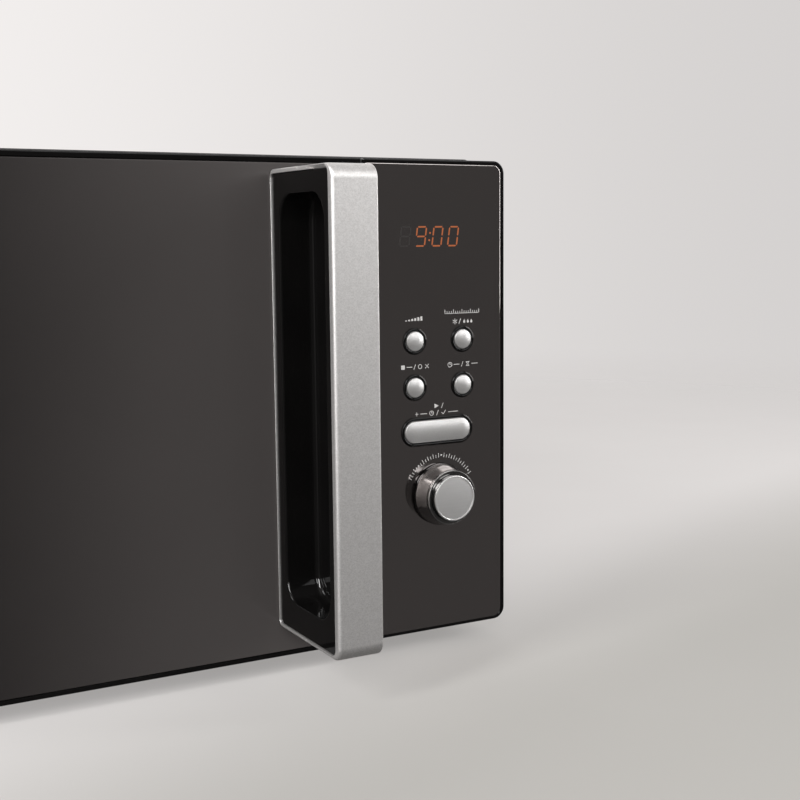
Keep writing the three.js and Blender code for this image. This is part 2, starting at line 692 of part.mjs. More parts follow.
function waveguideCover() {
  const inner = [CAVITY.x[1] - 0.9, CAVITY.x[1] - GAP];
  return pullX(rounded([2, 88], [102, 168], 5), inner, 3);
}

function magnetron() {
  const [y, z] = [45, 190];
  const antenna = [[0, 122], [8, 122], [9, 124], [9, 133], [12, 133], [12, 138], [0, 138]];
  const slab = (x, halfY, halfZ) => block(x, about(y, halfY), about(z, halfZ));
  const side = (middle) => block([138, 181], about(middle, 1.5), about(z, 30));
  return join(
    turnX(antenna, [y, z], COARSE),
    slab([136.3, 139], 40, 32),
    slab([138, 181], 17, 17),
    ...slots(5, 6, 148, (x) => slab([x, x + 1.2], 32, 27)),
    slab([180, 183], 40, 32),
    side(y - 38.5),
    side(y + 38.5),
    slab([182, 212], 24, 22),
  );
}

const TRANSFORMER = { x: [128, 210], y: [-70, 10], z: [BASE_BOTTOM + SHEET + GAP, 82] };

function transformerCore() {
  const { x, y, z } = TRANSFORMER;
  const span = x[1] - x[0];
  const windowAt = (middle) =>
    block(about(x[0] + middle * span, 0.1 * span), grow(y, 1), grow(z, -14));
  return join(
    cut(block(x, grow(y, -14), z), windowAt(0.27), windowAt(0.73)),
    block([x[0] - 6, x[1] + 6], grow(y, -20), [z[0], z[0] + 2]),
  );
}

function transformerWinding() {
  const { x, y, z } = TRANSFORMER;
  const middle = (x[0] + x[1]) / 2;
  const coil = (half, depth, range) => block(about(middle, half), grow(y, depth), range);
  const limb = 0.13 * (x[1] - x[0]);
  const range = [z[0] + 14 + GAP, z[1] - 14 - GAP];
  return cut(coil(limb + 15, -2, range), coil(limb + GAP, -14 + GAP, grow(range, 1)));
}

function capacitor() {
  const can = rounded([126, 160], [100, 152], 16.9);
  const base = BASE_BOTTOM + SHEET + GAP;
  return join(
    pullZ(can, [base, 98], 6),
    block([138, 148], [108, 114], [97.9, 106]),
    block([138, 148], [138, 144], [97.9, 106]),
  );
}

function fanShroud() {
  const y = [154, 158];
  const plate = block([112, 218], y, [126, 226]);
  const mouth = turnY(rod(FAN.radius + 4, grow(y, 1)), [FAN.x, FAN.z], 24);
  const duct = cut(
    turnY(rod(FAN.radius + 6, [134, 156]), [FAN.x, FAN.z], 24),
    turnY(rod(FAN.radius + 4, [133, 159]), [FAN.x, FAN.z], 24),
  );
  const spokes = block(about(FAN.x, 46), [158, 161], about(FAN.z, 6));
  const bore = turnY(rod(5, [157, 162]), [FAN.x, FAN.z], COARSE);
  return join(
    cut(plate, mouth),
    duct,
    cut(spokes, bore),
    block([112, 218], [y[0], REAR_SHEET - GAP], [126, 128]),
  );
}

function fanMotor() {
  const core = block(about(FAN.x, 22), [161.3, 186], about(FAN.z, 24));
  return join(core, turnY(rod(13, [185.9, 192]), [FAN.x, FAN.z], COARSE),
    turnY(rod(2.5, [FAN.y[1] + 1, 161.5]), [FAN.x, FAN.z], COARSE));
}

function fanBlade() {
  const hub = turnY(rod(9, FAN.y), [FAN.x, FAN.z], COARSE);
  const blades = Array.from({ length: 5 }, (_, i) => {
    const blade = new THREE.BoxGeometry(FAN.radius - 7, 1.6, 22);
    blade.rotateX(0.5).translate((FAN.radius + 7) / 2, (FAN.y[0] + FAN.y[1]) / 2, 0);
    return solid(blade.rotateY(i * 2 * Math.PI / 5).translate(FAN.x, 0, FAN.z));
  });
  return join(hub, ...blades);
}

function ovenLamp() {
  const [y, z] = [108, 188];
  const bulb = [[0, 112], [8, 112.6], [12, 117], [12, 124], [7, 134], [7, 140], [0, 140]];
  return join(
    turnX(bulb, [y, z], COARSE),
    turnX(rod(11, [139, 152]), [y, z], COARSE),
    block([139, 150], about(y, 16), about(z, 4)),
  );
}

function thermalCutout() {
  const [y, z] = [-50, 160];
  const tab = (middle) =>
    block([COMPARTMENT + 7, COMPARTMENT + 15], about(middle, 0.5), about(z, 3));
  return join(
    turnX(rod(8, [COMPARTMENT, COMPARTMENT + 8]), [y, z], COARSE),
    block([COMPARTMENT, COMPARTMENT + 1.2], about(y, 15), about(z, 5)),
    tab(y - 4.5),
    tab(y + 4.5),
  );
}

function noiseFilterBoard() {
  const board = [238, 239.6];
  return join(
    block([124, 212], [96, 150], board),
    block([130, 150], [102, 120], [239.5, 256]),
    turnZ(rod(12, [239.5, 252]), [176, 122], COARSE),
    block([196, 208], [104, 140], [239.5, 250]),
  );
}

function interlockBracket() {
  const back = CABINET + SHEET + GAP;
  const x = [134, 136.5];
  const ledges = LATCH.hooks.map((z) => block([118, 134.1], [back, back + 6.4], [z - 7, z - 3.4]));
  return join(
    block(x, [back, back + 34], [56, 222]),
    block([118, x[0] + 0.1], [back, back + 34], [56, 58.5]),
    block([118, x[0] + 0.1], [back, back + 34], [219.5, 222]),
    block([x[1] - 0.1, 146], [back, back + 2], [56, 222]),
    ...ledges,
  );
}

function doorSwitch(z) {
  const y = [CABINET + 15, CABINET + 31];
  return join(
    block([120, 133.7], y, [z - 12, z + 16]),
    block([124, 129], [y[0] - 1.2, y[0] + 0.1], [z + 1, z + 5]),
    block([122, 131], [y[1] - 0.1, y[1] + 6], [z - 8, z - 7]),
    block([122, 131], [y[1] - 0.1, y[1] + 6], [z + 11, z + 12]),
  );
}

// ---------------------------------------------------------------- assembly

piece('outer_cover', outerCover(), 'black_paint');
piece('front_plate', frontPlate(), 'enamel');
piece('cavity_liner', cavityLiner(), 'enamel');
piece('base_plate', basePlate(), 'zinc_steel');
piece('back_panel', backPanel(), 'zinc_steel');
piece('cord_inlet', cordInlet(), 'moulded_black');
for (const [name, x, z] of coverScrews) piece(name, coverScrew(x, z), 'zinc_steel');
for (const [name, x, y] of [
  ['foot_front_left', -185, -70], ['foot_front_right', 185, -70],
  ['foot_rear_left', -185, 165], ['foot_rear_right', 185, 165],
]) piece(name, foot(x, y), 'foot_rubber');
piece('upper_hinge', hinge(HINGE_ARMS.upper, -1), 'zinc_steel');
piece('lower_hinge', hinge(HINGE_ARMS.lower, 1), 'zinc_steel');

piece('control_housing', controlHousing(), 'gloss_black');
piece('control_glass', controlGlass(), 'mirror_glass');
piece('button_surround', buttonSurround(), 'gloss_black');
piece('display_module', displayModule(), 'moulded_black');
piece('control_board', controlBoard(), 'circuit_board');
piece('encoder_body', encoderBody(), 'zinc_steel');
piece('encoder_shaft', encoderShaft(), 'zinc_steel');
piece('knob', knob(), 'gunmetal');
piece('knob_cap', knobCap(), 'satin_silver');
for (const [name, place] of Object.entries(BUTTONS)) {
  piece(name, roundButton(place), 'satin_silver');
}
piece('start_button', startButton(), 'satin_silver');

piece('door_bezel', doorBezel(), 'gloss_black');
piece('door_glass', doorGlass(), 'mirror_glass');
piece('door_frame', doorFrame(), 'black_paint');
piece('door_screen', doorScreen(), 'black_paint');
piece('inner_window', innerWindow(), 'clear_glass');
piece('choke_cover', chokeCover(), 'moulded_black');
piece('door_latch', doorLatch(), 'moulded_white');
piece('handle_base', handleBase(), 'satin_silver');
piece('handle_cover', handleCover(), 'satin_silver');
piece('handle_recess', handleRecess(), 'gloss_black');

piece('glass_turntable', glassTurntable(), 'clear_glass');
piece('turntable_coupler', turntableCoupler(), 'moulded_white');
piece('roller_ring', rollerRing(), 'moulded_white');
for (const [name, angle] of Object.entries(ROLLER_ANGLES)) {
  piece(name, roller(angle), 'moulded_white');
}
piece('turntable_motor', turntableMotor(), 'zinc_steel');

piece('waveguide', waveguide(), 'zinc_steel');
piece('waveguide_cover', waveguideCover(), 'mica');
piece('magnetron', magnetron(), 'zinc_steel');
piece('transformer_core', transformerCore(), 'lamination');
piece('transformer_winding', transformerWinding(), 'copper');
piece('capacitor', capacitor(), 'can_aluminium');
piece('fan_shroud', fanShroud(), 'moulded_black');
piece('fan_motor', fanMotor(), 'lamination');
piece('fan_blade', fanBlade(), 'moulded_black');
piece('oven_lamp', ovenLamp(), 'clear_glass');
piece('thermal_cutout', thermalCutout(), 'moulded_black');
piece('noise_filter_board', noiseFilterBoard(), 'circuit_board');
piece('interlock_bracket', interlockBracket(), 'moulded_white');
piece('upper_door_switch', doorSwitch(LATCH.hooks[1]), 'moulded_black');
piece('lower_door_switch', doorSwitch(LATCH.hooks[0]), 'moulded_black');

export default oven;
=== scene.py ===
"""Looks of the microwave oven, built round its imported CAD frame. Metres, +Z up, -Y to the front."""

import json
import math

import bmesh
import bpy
from mathutils import Matrix, Vector

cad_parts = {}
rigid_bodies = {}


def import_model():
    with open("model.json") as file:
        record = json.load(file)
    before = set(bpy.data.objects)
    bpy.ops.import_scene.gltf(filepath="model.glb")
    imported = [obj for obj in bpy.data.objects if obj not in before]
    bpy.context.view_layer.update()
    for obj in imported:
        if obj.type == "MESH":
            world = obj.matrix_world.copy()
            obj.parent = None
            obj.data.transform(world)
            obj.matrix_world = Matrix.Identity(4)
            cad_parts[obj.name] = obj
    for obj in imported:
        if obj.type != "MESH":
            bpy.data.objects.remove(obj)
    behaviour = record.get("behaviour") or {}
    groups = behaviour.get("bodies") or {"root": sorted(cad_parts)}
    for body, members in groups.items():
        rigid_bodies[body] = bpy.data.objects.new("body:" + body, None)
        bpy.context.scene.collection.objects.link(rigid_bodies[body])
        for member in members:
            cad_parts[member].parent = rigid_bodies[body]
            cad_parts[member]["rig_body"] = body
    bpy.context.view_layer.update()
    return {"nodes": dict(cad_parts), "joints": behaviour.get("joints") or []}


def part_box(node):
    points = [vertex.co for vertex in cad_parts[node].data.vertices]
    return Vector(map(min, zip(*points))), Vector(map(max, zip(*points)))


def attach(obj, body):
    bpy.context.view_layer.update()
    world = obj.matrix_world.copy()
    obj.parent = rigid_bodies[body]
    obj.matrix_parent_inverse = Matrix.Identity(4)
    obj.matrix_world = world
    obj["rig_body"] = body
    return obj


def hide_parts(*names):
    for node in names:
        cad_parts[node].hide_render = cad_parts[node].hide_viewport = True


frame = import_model()
NODES = frame["nodes"]

MM = 0.001
GAP = 0.3 * MM  # between pieces that touch
TINY = 0.02 * MM
CORNER_STEPS = 14  # edges in each rounded corner of an outline
EDGE_STEPS = 5  # edges in each rounded edge
FINE = 128  # sides of a large round piece
ROUND = 64  # sides of a small round piece

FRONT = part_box("control_glass")[0].y  # front face of the glass
BUTTON_NODES = ["power_button", "defrost_button", "stop_button", "clock_button"]


# ---- shader building

class Nodes:
    """One shader tree. Every input takes a number, a colour or another node's output."""

    def __init__(self, tree, coordinates):
        self.tree = tree
        self.place = tree.nodes.new("ShaderNodeTexCoord").outputs[coordinates]

    def node(self, kind, inputs=None, **settings):
        made = self.tree.nodes.new("ShaderNode" + kind)
        for key, value in settings.items():
            setattr(made, key, value)
        for key, value in (inputs or {}).items():
            self.feed(made.inputs[key], value)
        return made

    def feed(self, socket, value):
        if isinstance(value, bpy.types.NodeSocket):
            self.tree.links.new(value, socket)
        else:
            socket.default_value = value

    def axes(self):
        return self.node("SeparateXYZ", {0: self.place}).outputs

    def spread(self, value, low, high, to_low=0.0, to_high=1.0, kind="LINEAR"):
        """The value's range low to high, moved to to_low to to_high."""
        inputs = {"Value": value, "From Min": low, "From Max": high,
                  "To Min": to_low, "To Max": to_high}
        return self.node("MapRange", inputs, interpolation_type=kind).outputs["Result"]

    def smooth(self, *numbers):
        return self.spread(*numbers, kind="SMOOTHSTEP")

    def maths(self, operation, a, b):
        return self.node("Math", {0: a, 1: b}, operation=operation).outputs[0]

    def weighed(self, a, share_a, b, share_b):
        """The sum of two values, each times its share."""
        parts = self.maths("MULTIPLY", a, share_a), self.maths("MULTIPLY", b, share_b)
        return self.maths("ADD", *parts)


class Paint(Nodes):
    """A material whose colour, roughness and bump come from procedural textures."""

    def __init__(self, name, roughness, metallic=0.0, ior=1.5, **sockets):
        self.material = bpy.data.materials.new(name)
        self.material.use_nodes = True
        super().__init__(self.material.node_tree, "Object")
        self.shader = self.tree.nodes["Principled BSDF"]
        sockets.update(Roughness=roughness, Metallic=metallic, IOR=ior)
        for socket, value in sockets.items():
            self.shader.inputs[socket.replace("_", " ")].default_value = value
        self.normal = None

    def stretched(self, scale, turn=(0, 0, 0)):
        inputs = {"Vector": self.place, "Scale": scale, "Rotation": turn}
        return self.node("Mapping", inputs).outputs[0]

    def noise(self, scale, detail=2.0, stretch=(1, 1, 1)):
        inputs = {"Vector": self.stretched(stretch), "Scale": scale, "Detail": detail}
        return self.node("TexNoise", inputs).outputs["Fac"]

    def cells(self, scale, feature="F1", output="Distance", stretch=(1, 1, 1), randomness=1.0):
        inputs = {"Vector": self.stretched(stretch), "Scale": scale, "Randomness": randomness}
        return self.node("TexVoronoi", inputs, feature=feature).outputs[output]

    def chips(self, scale, channel=0):
        """One random number for each cell."""
        return self.node("SeparateColor", {0: self.cells(scale, output="Color")}).outputs[channel]

    def bands(self, scale, direction, distortion=0.0):
        inputs = {"Vector": self.place, "Scale": scale, "Distortion": distortion}
        return self.node("TexWave", inputs, bands_direction=direction).outputs["Fac"]

    def dust(self):
        specks = self.spread(self.cells(900), 0.02, 0.10, 1, 0)
        return self.maths("MULTIPLY", specks, self.spread(self.noise(60), 0.62, 0.75))

    def blend(self, factor, dark, light):
        mix = self.node("Mix", {"Factor": factor}, data_type="RGBA")
        colours = [s for s in mix.inputs if s.type == "RGBA"]
        for socket, colour in zip(colours, (dark, light)):
            self.feed(socket, (*colour, 1) if isinstance(colour, tuple) else colour)
        return next(s for s in mix.outputs if s.type == "RGBA")

    def colour(self, factor, dark, light):
        self.feed(self.shader.inputs["Base Color"], self.blend(factor, dark, light))

    def roughness(self, factor, low, high):
        self.feed(self.shader.inputs["Roughness"], self.spread(factor, 0, 1, low, high))

    def bump(self, height, microns, strength):
        """One more layer of relief."""
        inputs = {"Height": height, "Distance": microns * 1e-6, "Strength": strength}
        if self.normal is not None:
            inputs["Normal"] = self.normal
        self.normal = self.node("Bump", inputs).outputs["Normal"]
        self.feed(self.shader.inputs["Normal"], self.normal)


MATERIALS = {}


def look(name, *numbers, **sockets):
    """Adds a material by that name, painted by the function below."""
    def add(recipe):
        paint = Paint(name, *numbers, **sockets)
        recipe(paint)
        MATERIALS[name] = paint.material
        return recipe
    return add


@look("door_glass", 0.16, ior=1.3)
def tinted_glass(paint):
    """Dark glass with painted light: its tone grows brighter towards the right, to lift the shade
    that the handle casts. Float waves, dust and wipe marks.
    """
    # painted light: the glass is made brighter towards the right against the handle's shade; tone and
    # body carry it, with a random tone on top
    painted_light_ramp = paint.spread(paint.axes()[0], -0.05, 0.085)
    tone = paint.maths("ADD", painted_light_ramp, paint.spread(paint.noise(14, 3), 0, 1, -0.06, 0.06))
    body = paint.blend(tone, (0.0195, 0.0176, 0.0172), (0.056, 0.051, 0.0497))
    paint.colour(paint.dust(), body, (0.07, 0.068, 0.066))
    paint.roughness(paint.noise(9, 4), 0.12, 0.2)
    paint.bump(paint.noise(11, 1), 20, 0.5)


@look("mirror_glass", 0.05, ior=6.2, Specular_Tint=(1.0, 0.925, 0.905, 1))
def mirror_glass(paint):
    """Dark glass with a half-mirror coat, float waves, a faint haze and dust."""
    paint.colour(paint.dust(), (0.0065, 0.0058, 0.0054), (0.03, 0.029, 0.028))
    paint.roughness(paint.noise(9, 4), 0.03, 0.075)
    paint.bump(paint.noise(11, 1), 20, 0.5)


@look("gloss_black", 0.1, ior=1.38)
def gloss_black(paint):
    """A glossy moulding with a trace of orange peel and finger marks."""
    paint.colour(paint.noise(30, 3), (0.0022, 0.0021, 0.0021), (0.0045, 0.0042, 0.0041))
    paint.roughness(paint.noise(25, 5), 0.025, 0.08)
    paint.bump(paint.noise(260), 12, 0.6)


@look("satin_silver", 0.4, metallic=0.86)
def satin_silver(paint):
    """Lacquer on plastic: fine aluminium flakes in a satin coat."""
    grain, cloud = paint.chips(2100), paint.noise(420, 4)
    paint.colour(paint.weighed(grain, 0.5, cloud, 0.3), (0.53, 0.515, 0.505), (0.76, 0.745, 0.735))
    paint.roughness(paint.noise(700, 3), 0.42, 0.54)
    paint.bump(grain, 10, 0.5)
    paint.bump(cloud, 20, 0.35)


@look("brushed_silver", 0.32, metallic=0.9)
def brushed_silver(paint):
    """Lacquered silver with a straight brushed grain, for the dial's cap."""
    lines, flakes = paint.noise(900, 3, stretch=(0.03, 0.03, 1.6)), paint.noise(1700)
    paint.colour(lines, (0.84, 0.83, 0.82), (0.95, 0.94, 0.93))
    paint.roughness(flakes, 0.34, 0.48)
    paint.bump(lines, 4, 0.4)
    paint.bump(flakes, 10, 0.4)


@look("button_silver", 0.4, metallic=0.72)
def button_silver(paint):
    """A fine even grain under a satin lacquer."""
    grain, cloud = paint.noise(1900, 3), paint.noise(420, 3)
    paint.colour(paint.spread(grain, 0, 1, 0.5, 1.1), (0.40, 0.394, 0.388), (0.64, 0.632, 0.624))
    paint.roughness(cloud, 0.36, 0.46)
    paint.bump(grain, 10, 0.4)
    paint.bump(cloud, 10, 0.3)


@look("gunmetal", 0.2, metallic=1.0)
def gunmetal(paint):
    """Smoked chrome turned on a lathe: fine rings along the dial's axis."""
    rings = paint.noise(1500, stretch=(0.02, 1, 0.02))
    paint.colour(paint.noise(140, 4), (0.15, 0.147, 0.146), (0.50, 0.493, 0.486))
    paint.roughness(rings, 0.10, 0.2)
    paint.bump(rings, 10, 0.5)


@look("chrome", 0.08, metallic=1.0)
def chrome(paint):
    haze = paint.noise(300, 3)
    paint.colour(haze, (0.62, 0.62, 0.61), (0.78, 0.78, 0.77))
    paint.roughness(haze, 0.05, 0.14)


@look("black_paint", 0.42)
def black_paint(paint):
    """Baked powder coat with a fine leathery texture."""
    grain = paint.cells(1300, "SMOOTH_F1")
    paint.colour(paint.noise(45, 4), (0.008, 0.0078, 0.0078), (0.016, 0.0155, 0.0155))
    paint.roughness(paint.noise(90, 3), 0.34, 0.5)
    paint.bump(grain, 60, 0.5)
    paint.bump(paint.noise(25), 30, 0.4)


@look("enamel", 0.28, Coat_Weight=0.4, Coat_Roughness=0.08)
def enamel(paint):
    """Speckled grey, with a slow flow texture."""
    specks = paint.spread(paint.cells(1100), 0.05, 0.16, 1, 0)
    chosen = paint.maths("MULTIPLY", specks, paint.spread(paint.noise(700), 0.54, 0.62))
    paint.colour(chosen, (0.56, 0.55, 0.53), (0.33, 0.33, 0.335))
    paint.roughness(paint.noise(60, 3), 0.22, 0.36)
    paint.bump(paint.noise(180, 3), 40, 0.5)


@look("zinc_steel", 0.36, metallic=1.0)
def zinc_steel(paint):
    """Galvanised sheet: crystals of the zinc and rolling lines."""
    crystal, rolled = paint.chips(190), paint.noise(500, 3, stretch=(0.05, 0.05, 1))
    paint.colour(paint.weighed(crystal, 0.7, rolled, 0.3), (0.40, 0.41, 0.42), (0.56, 0.57, 0.575))
    paint.roughness(paint.maths("MULTIPLY", crystal, paint.noise(40, 4)), 0.32, 0.5)
    paint.bump(crystal, 10, 0.4)
    paint.bump(rolled, 20, 0.3)


@look("can_aluminium", 0.3, metallic=1.0)
def can_aluminium(paint):
    drawn = paint.noise(700, 3, stretch=(1, 1, 0.03))
    paint.colour(drawn, (0.55, 0.56, 0.57), (0.74, 0.75, 0.76))
    paint.roughness(paint.noise(120, 3), 0.24, 0.42)
    paint.bump(drawn, 10, 0.4)


def moulded(name, dark, light, low, high, relief):
    """Spark-eroded plastic: a fine pebbled grain over a slight mottle."""
    @look(name, low, ior=1.48)
    def recipe(paint):
        paint.colour(paint.noise(70, 4), dark, light)
        paint.roughness(paint.noise(240, 3), low, high)
        paint.bump(paint.cells(1600, "SMOOTH_F1"), relief, 0.5)


moulded("moulded_black", (0.011, 0.011, 0.012), (0.02, 0.02, 0.021), 0.42, 0.6, 50)
moulded("moulded_white", (0.62, 0.61, 0.57), (0.72, 0.71, 0.67), 0.4, 0.55, 40)


@look("clear_glass", 0.03, ior=1.52, Transmission_Weight=1.0)
def clear_glass(paint):
    """Pressed soda-lime glass with a faint green body and flow marks."""
    flow = paint.noise(35)
    paint.colour(flow, (0.86, 0.92, 0.90), (0.93, 0.97, 0.95))
    paint.roughness(paint.noise(80, 3), 0.015, 0.05)
    paint.bump(flow, 80, 0.4)


@look("circuit_board", 0.4)
def circuit_board(paint):
    """Solder resist over copper tracks, with bare pads."""
    face_on = paint.stretched((1, 1, 1), (math.pi / 2, 0, 0))
    inputs = {"Vector": face_on, "Scale": 95.0, "Mortar Size": 0.03}
    tracks = paint.node("TexBrick", inputs).outputs["Fac"]
    pads = paint.spread(paint.cells(260, randomness=0.35), 0.16, 0.2, 1, 0)
    resist = paint.blend(tracks, (0.012, 0.07, 0.025), (0.03, 0.15, 0.055))
    paint.colour(pads, resist, (0.5, 0.46, 0.38))
    paint.feed(paint.shader.inputs["Metallic"], pads)
    paint.bump(tracks, 40, 0.5)
    paint.bump(pads, 50, 0.5)


@look("mica", 0.35, ior=1.58)
def mica(paint):
    tone = paint.chips(230, 1)
    paint.colour(tone, (0.23, 0.20, 0.155), (0.42, 0.38, 0.31))
    paint.roughness(tone, 0.25, 0.5)
    paint.bump(tone, 30, 0.5)


@look("copper", 0.3, metallic=0.9)
def copper(paint):
    """Turns of enamelled wire lying side by side."""
    turns = paint.bands(420, "Z")
    paint.colour(turns, (0.16, 0.05, 0.022), (0.52, 0.21, 0.10))
    paint.roughness(paint.noise(200), 0.22, 0.4)
    paint.bump(turns, 300, 0.7)


@look("lamination", 0.45, metallic=0.75)
def lamination(paint):
    """Edges of stacked silicon-steel sheets, with a thin brown varnish."""
    sheets, varnish = paint.bands(620, "Y", 0.2), paint.noise(60, 4)
    paint.colour(paint.maths("MULTIPLY", sheets, varnish), (0.06, 0.055, 0.05), (0.3, 0.29, 0.27))
    paint.roughness(varnish, 0.35, 0.6)
    paint.bump(sheets, 100, 0.6)


@look("foot_rubber", 0.8)
def foot_rubber(paint):
    paint.colour(paint.noise(150, 4), (0.009, 0.009, 0.009), (0.022, 0.021, 0.021))
    paint.roughness(paint.noise(300), 0.7, 0.9)
    paint.bump(paint.noise(900, 3), 60, 0.6)


@look("perforated_screen", 0.4, metallic=0.6)
def perforated_screen(paint):
    """Black steel sheet with a close staggered grid of round holes."""
    holes = paint.spread(paint.cells(480, randomness=0.0, stretch=(1, 0.001, 1)), 0.28, 0.34)
    paint.colour(holes, (0.0008, 0.0008, 0.0008), (0.035, 0.034, 0.034))
    paint.bump(holes, 400, 0.8)


@look("legend_ink", 0.55)
def legend_ink(paint):
    """Light grey screen print, a little uneven in its cover."""
    cover = paint.noise(1500, 3)
    paint.colour(cover, (0.42, 0.41, 0.40), (0.72, 0.71, 0.70))
    paint.bump(cover, 5, 0.5)


def glowing(name, dim, bright):
    """Display segments, lit a little unevenly."""
    @look(name, 0.3, Emission_Strength=1.0)
    def recipe(paint):
        even = paint.noise(900)
        paint.colour(even, tuple(0.04 * c for c in dim), tuple(0.04 * c for c in bright))
        paint.feed(paint.shader.inputs["Emission Color"], paint.blend(even, dim, bright))


glowing("segment_lit", (0.33, 0.082, 0.024), (0.44, 0.125, 0.042))
# the dark digit glows faintly too: painted light that shows its switched-off segments
glowing("segment_unlit", (0.024, 0.021, 0.020), (0.032, 0.028, 0.026))


# ---- mesh building

def arc(centre, radius, start, end, steps):
    """Points on a circle's arc, from start to end in degrees."""
    angles = [math.radians(start + (end - start) * step / steps) for step in range(steps + 1)]
    return [(centre[0] + radius * math.cos(a), centre[1] + radius * math.sin(a)) for a in angles]


def circle(x, y, radius, sides=16):
    return arc((x, y), radius, 0, 360, sides)[:-1]


def rectangle(x0, y0, x1, y1):
    return [(x0, y0), (x1, y0), (x1, y1), (x0, y1)]


def rounded(low, high, radii):
    """Corners of a rectangle with rounded corners, anticlockwise from its low-low corner."""
    (x0, y0), (x1, y1) = low, high
    corners = [(x0, y0, 1, 1, 180), (x1, y0, -1, 1, 270), (x1, y1, -1, -1, 0), (x0, y1, 1, -1, 90)]
    points = []
    for (x, y, sx, sy, start), radius in zip(corners, radii):
        radius = max(radius, TINY)
        points += arc((x + sx * radius, y + sy * radius), radius, start, start + 90, CORNER_STEPS)
    return points


def box_outline(low, high, radii):
    """A function that gives the rounded rectangle, inset by any margin."""
    def inset(by):
        inner = (low[0] + by, low[1] + by), (high[0] - by, high[1] - by)
        return rounded(*inner, [radius - by for radius in radii])
    return inset


def edge(radius, start):
    """A rounded edge as (inset, depth) pairs, from the side to the face at start."""
    return arc((radius, start + radius), radius, 180, 270, EDGE_STEPS)


def near(base, along, *steps):
    """Steps in millimetres past a base radius and a base place, as (radius, place) pairs."""
    return [(base + a * MM, along + b * MM) for a, b in steps]


def loft(mesh, rings, closed=False):
    """Faces from ring to ring; both ends are capped unless the last ring joins the first."""
    rows = [[mesh.verts.new(point) for point in ring] for ring in rings]
    pairs = list(zip(rows, rows[1:]))
    if closed:
        pairs.append((rows[-1], rows[0]))
    else:
        mesh.faces.new(reversed(rows[0]))
        mesh.faces.new(rows[-1])
    for first, second in pairs:
        for i, point in enumerate(first):
            j = (i + 1) % len(first)
            mesh.faces.new((point, first[j], second[j], second[i]))


def along_y(outline, pairs):
    """Rings of an (x, z) outline, one for each (inset, y) pair."""
    return [[(x, y, z) for x, z in outline(by)] for by, y in pairs]


def along_x(outline, pairs):
    """Rings of a (y, z) outline, one for each (inset, x) pair."""
    return [[(x, y, z) for y, z in outline(by)] for by, x in pairs]


def lathe(profile, centre, sides=ROUND, axis="Y"):
    """A profile of (radius, place along the axis) pairs turned about the axis through centre."""
    rings = []
    for radius, along in profile:
        ring = circle(*centre, radius, sides)
        rings.append([(a, along, b) if axis == "Y" else (a, b, along) for a, b in ring])
    return rings


def make(name, mesh, merge=True):
    """An object from a bmesh, in the scene."""
    if merge:
        bmesh.ops.remove_doubles(mesh, verts=mesh.verts, dist=1e-7)
        bmesh.ops.dissolve_degenerate(mesh, dist=1e-8, edges=mesh.edges)
        bmesh.ops.recalc_face_normals(mesh, faces=mesh.faces)
    data = bpy.data.meshes.new(name)
    mesh.to_mesh(data)
    mesh.free()
    made = bpy.data.objects.new(name, data)
    bpy.context.scene.collection.objects.link(made)
    return made


def solid(name, *lofts):
    """An object from lists of rings. A list that ends with its first ring closes on itself."""
    mesh = bmesh.new()
    for rings in lofts:
        closed = rings[0] == rings[-1]
        loft(mesh, rings[:-1] if closed else rings, closed)
    return make(name, mesh)


def bake(piece):
    """The piece's modifiers, made part of its mesh."""
    bpy.context.view_layer.update()
    evaluated = piece.evaluated_get(bpy.context.evaluated_depsgraph_get())
    data = bpy.data.meshes.new_from_object(evaluated)
    piece.modifiers.clear()
    piece.data = data


def carve(piece, *cutters):
    """Takes the cutters out of the piece."""
    for cutter in cutters:
        step = piece.modifiers.new("carve", "BOOLEAN")
        step.operation, step.solver, step.object = "DIFFERENCE", "EXACT", cutter
    bake(piece)
    for cutter in cutters:
        bpy.data.objects.remove(cutter)


def prism(outline, x):
    """A cutting block with the given (y, z) outline, from x[0] to x[1]."""
    return solid("cutter", [[(depth, y, z) for y, z in outline] for depth in x])


def block(x, y, z):
    """A plain cutting block."""
    face = rectangle(x[0], z[0], x[1], z[1])
    return solid("cutter", [[(a, depth, b) for a, b in face] for depth in y])


def soften(piece, width, segments=2, angle=40):
    """Rounds the sharp edges that the shape still has."""
    step = piece.modifiers.new("soften", "BEVEL")
    step.width, step.segments = width, segments
    step.limit_method, step.angle_limit = "ANGLE", math.radians(angle)
    step.use_clamp_overlap = True
    bake(piece)


def finish(piece, body, material, *nodes, slot=None, angle=35):
    """Shading, material and place in the frame. The slot argument is not used."""
    data = piece.data
    data.polygons.foreach_set("use_smooth", [True] * len(data.polygons))
    data.set_sharp_from_angle(angle=math.radians(angle))
    piece.modifiers.new("normals", "WEIGHTED_NORMAL").keep_sharp = True
    data.materials.clear()
    data.materials.append(MATERIALS[material])
    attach(piece, body)
    if nodes:
        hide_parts(*nodes)


def xz(point):
    return point.x, point.z


def middle(node):
    low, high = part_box(node)
    return (low + high) / 2


def half_width(node):
    low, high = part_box(node)
    return (high.x - low.x) / 2


# ---- control panel and door faces

BEZEL_CORNER = 6.5 * MM
GLASS_CORNER = 4.5 * MM
SEAM_CORNER = 1 * MM  # corners on the seam between door and panel
BEZEL_EDGE = 0.7 * MM
SEAT_LIP = 0.25 * MM  # chamfer round the glass's seat
GLASS_EDGE = 0.45 * MM
DOOR_RIM = 26 * MM  # bezel kept round the window
WALL = 2.2 * MM
SWING = 12 * MM  # hinge axis to the door's back and side
HINGE_ARM = 3 * MM


def face_radii(node, large, small):
    """Corner radii of a face: large on the oven's outer side, small on the seam side."""
    on_right = middle(node).x > middle("door_bezel").x
    return [small, large, large, small] if on_right else [large, small, small, large]


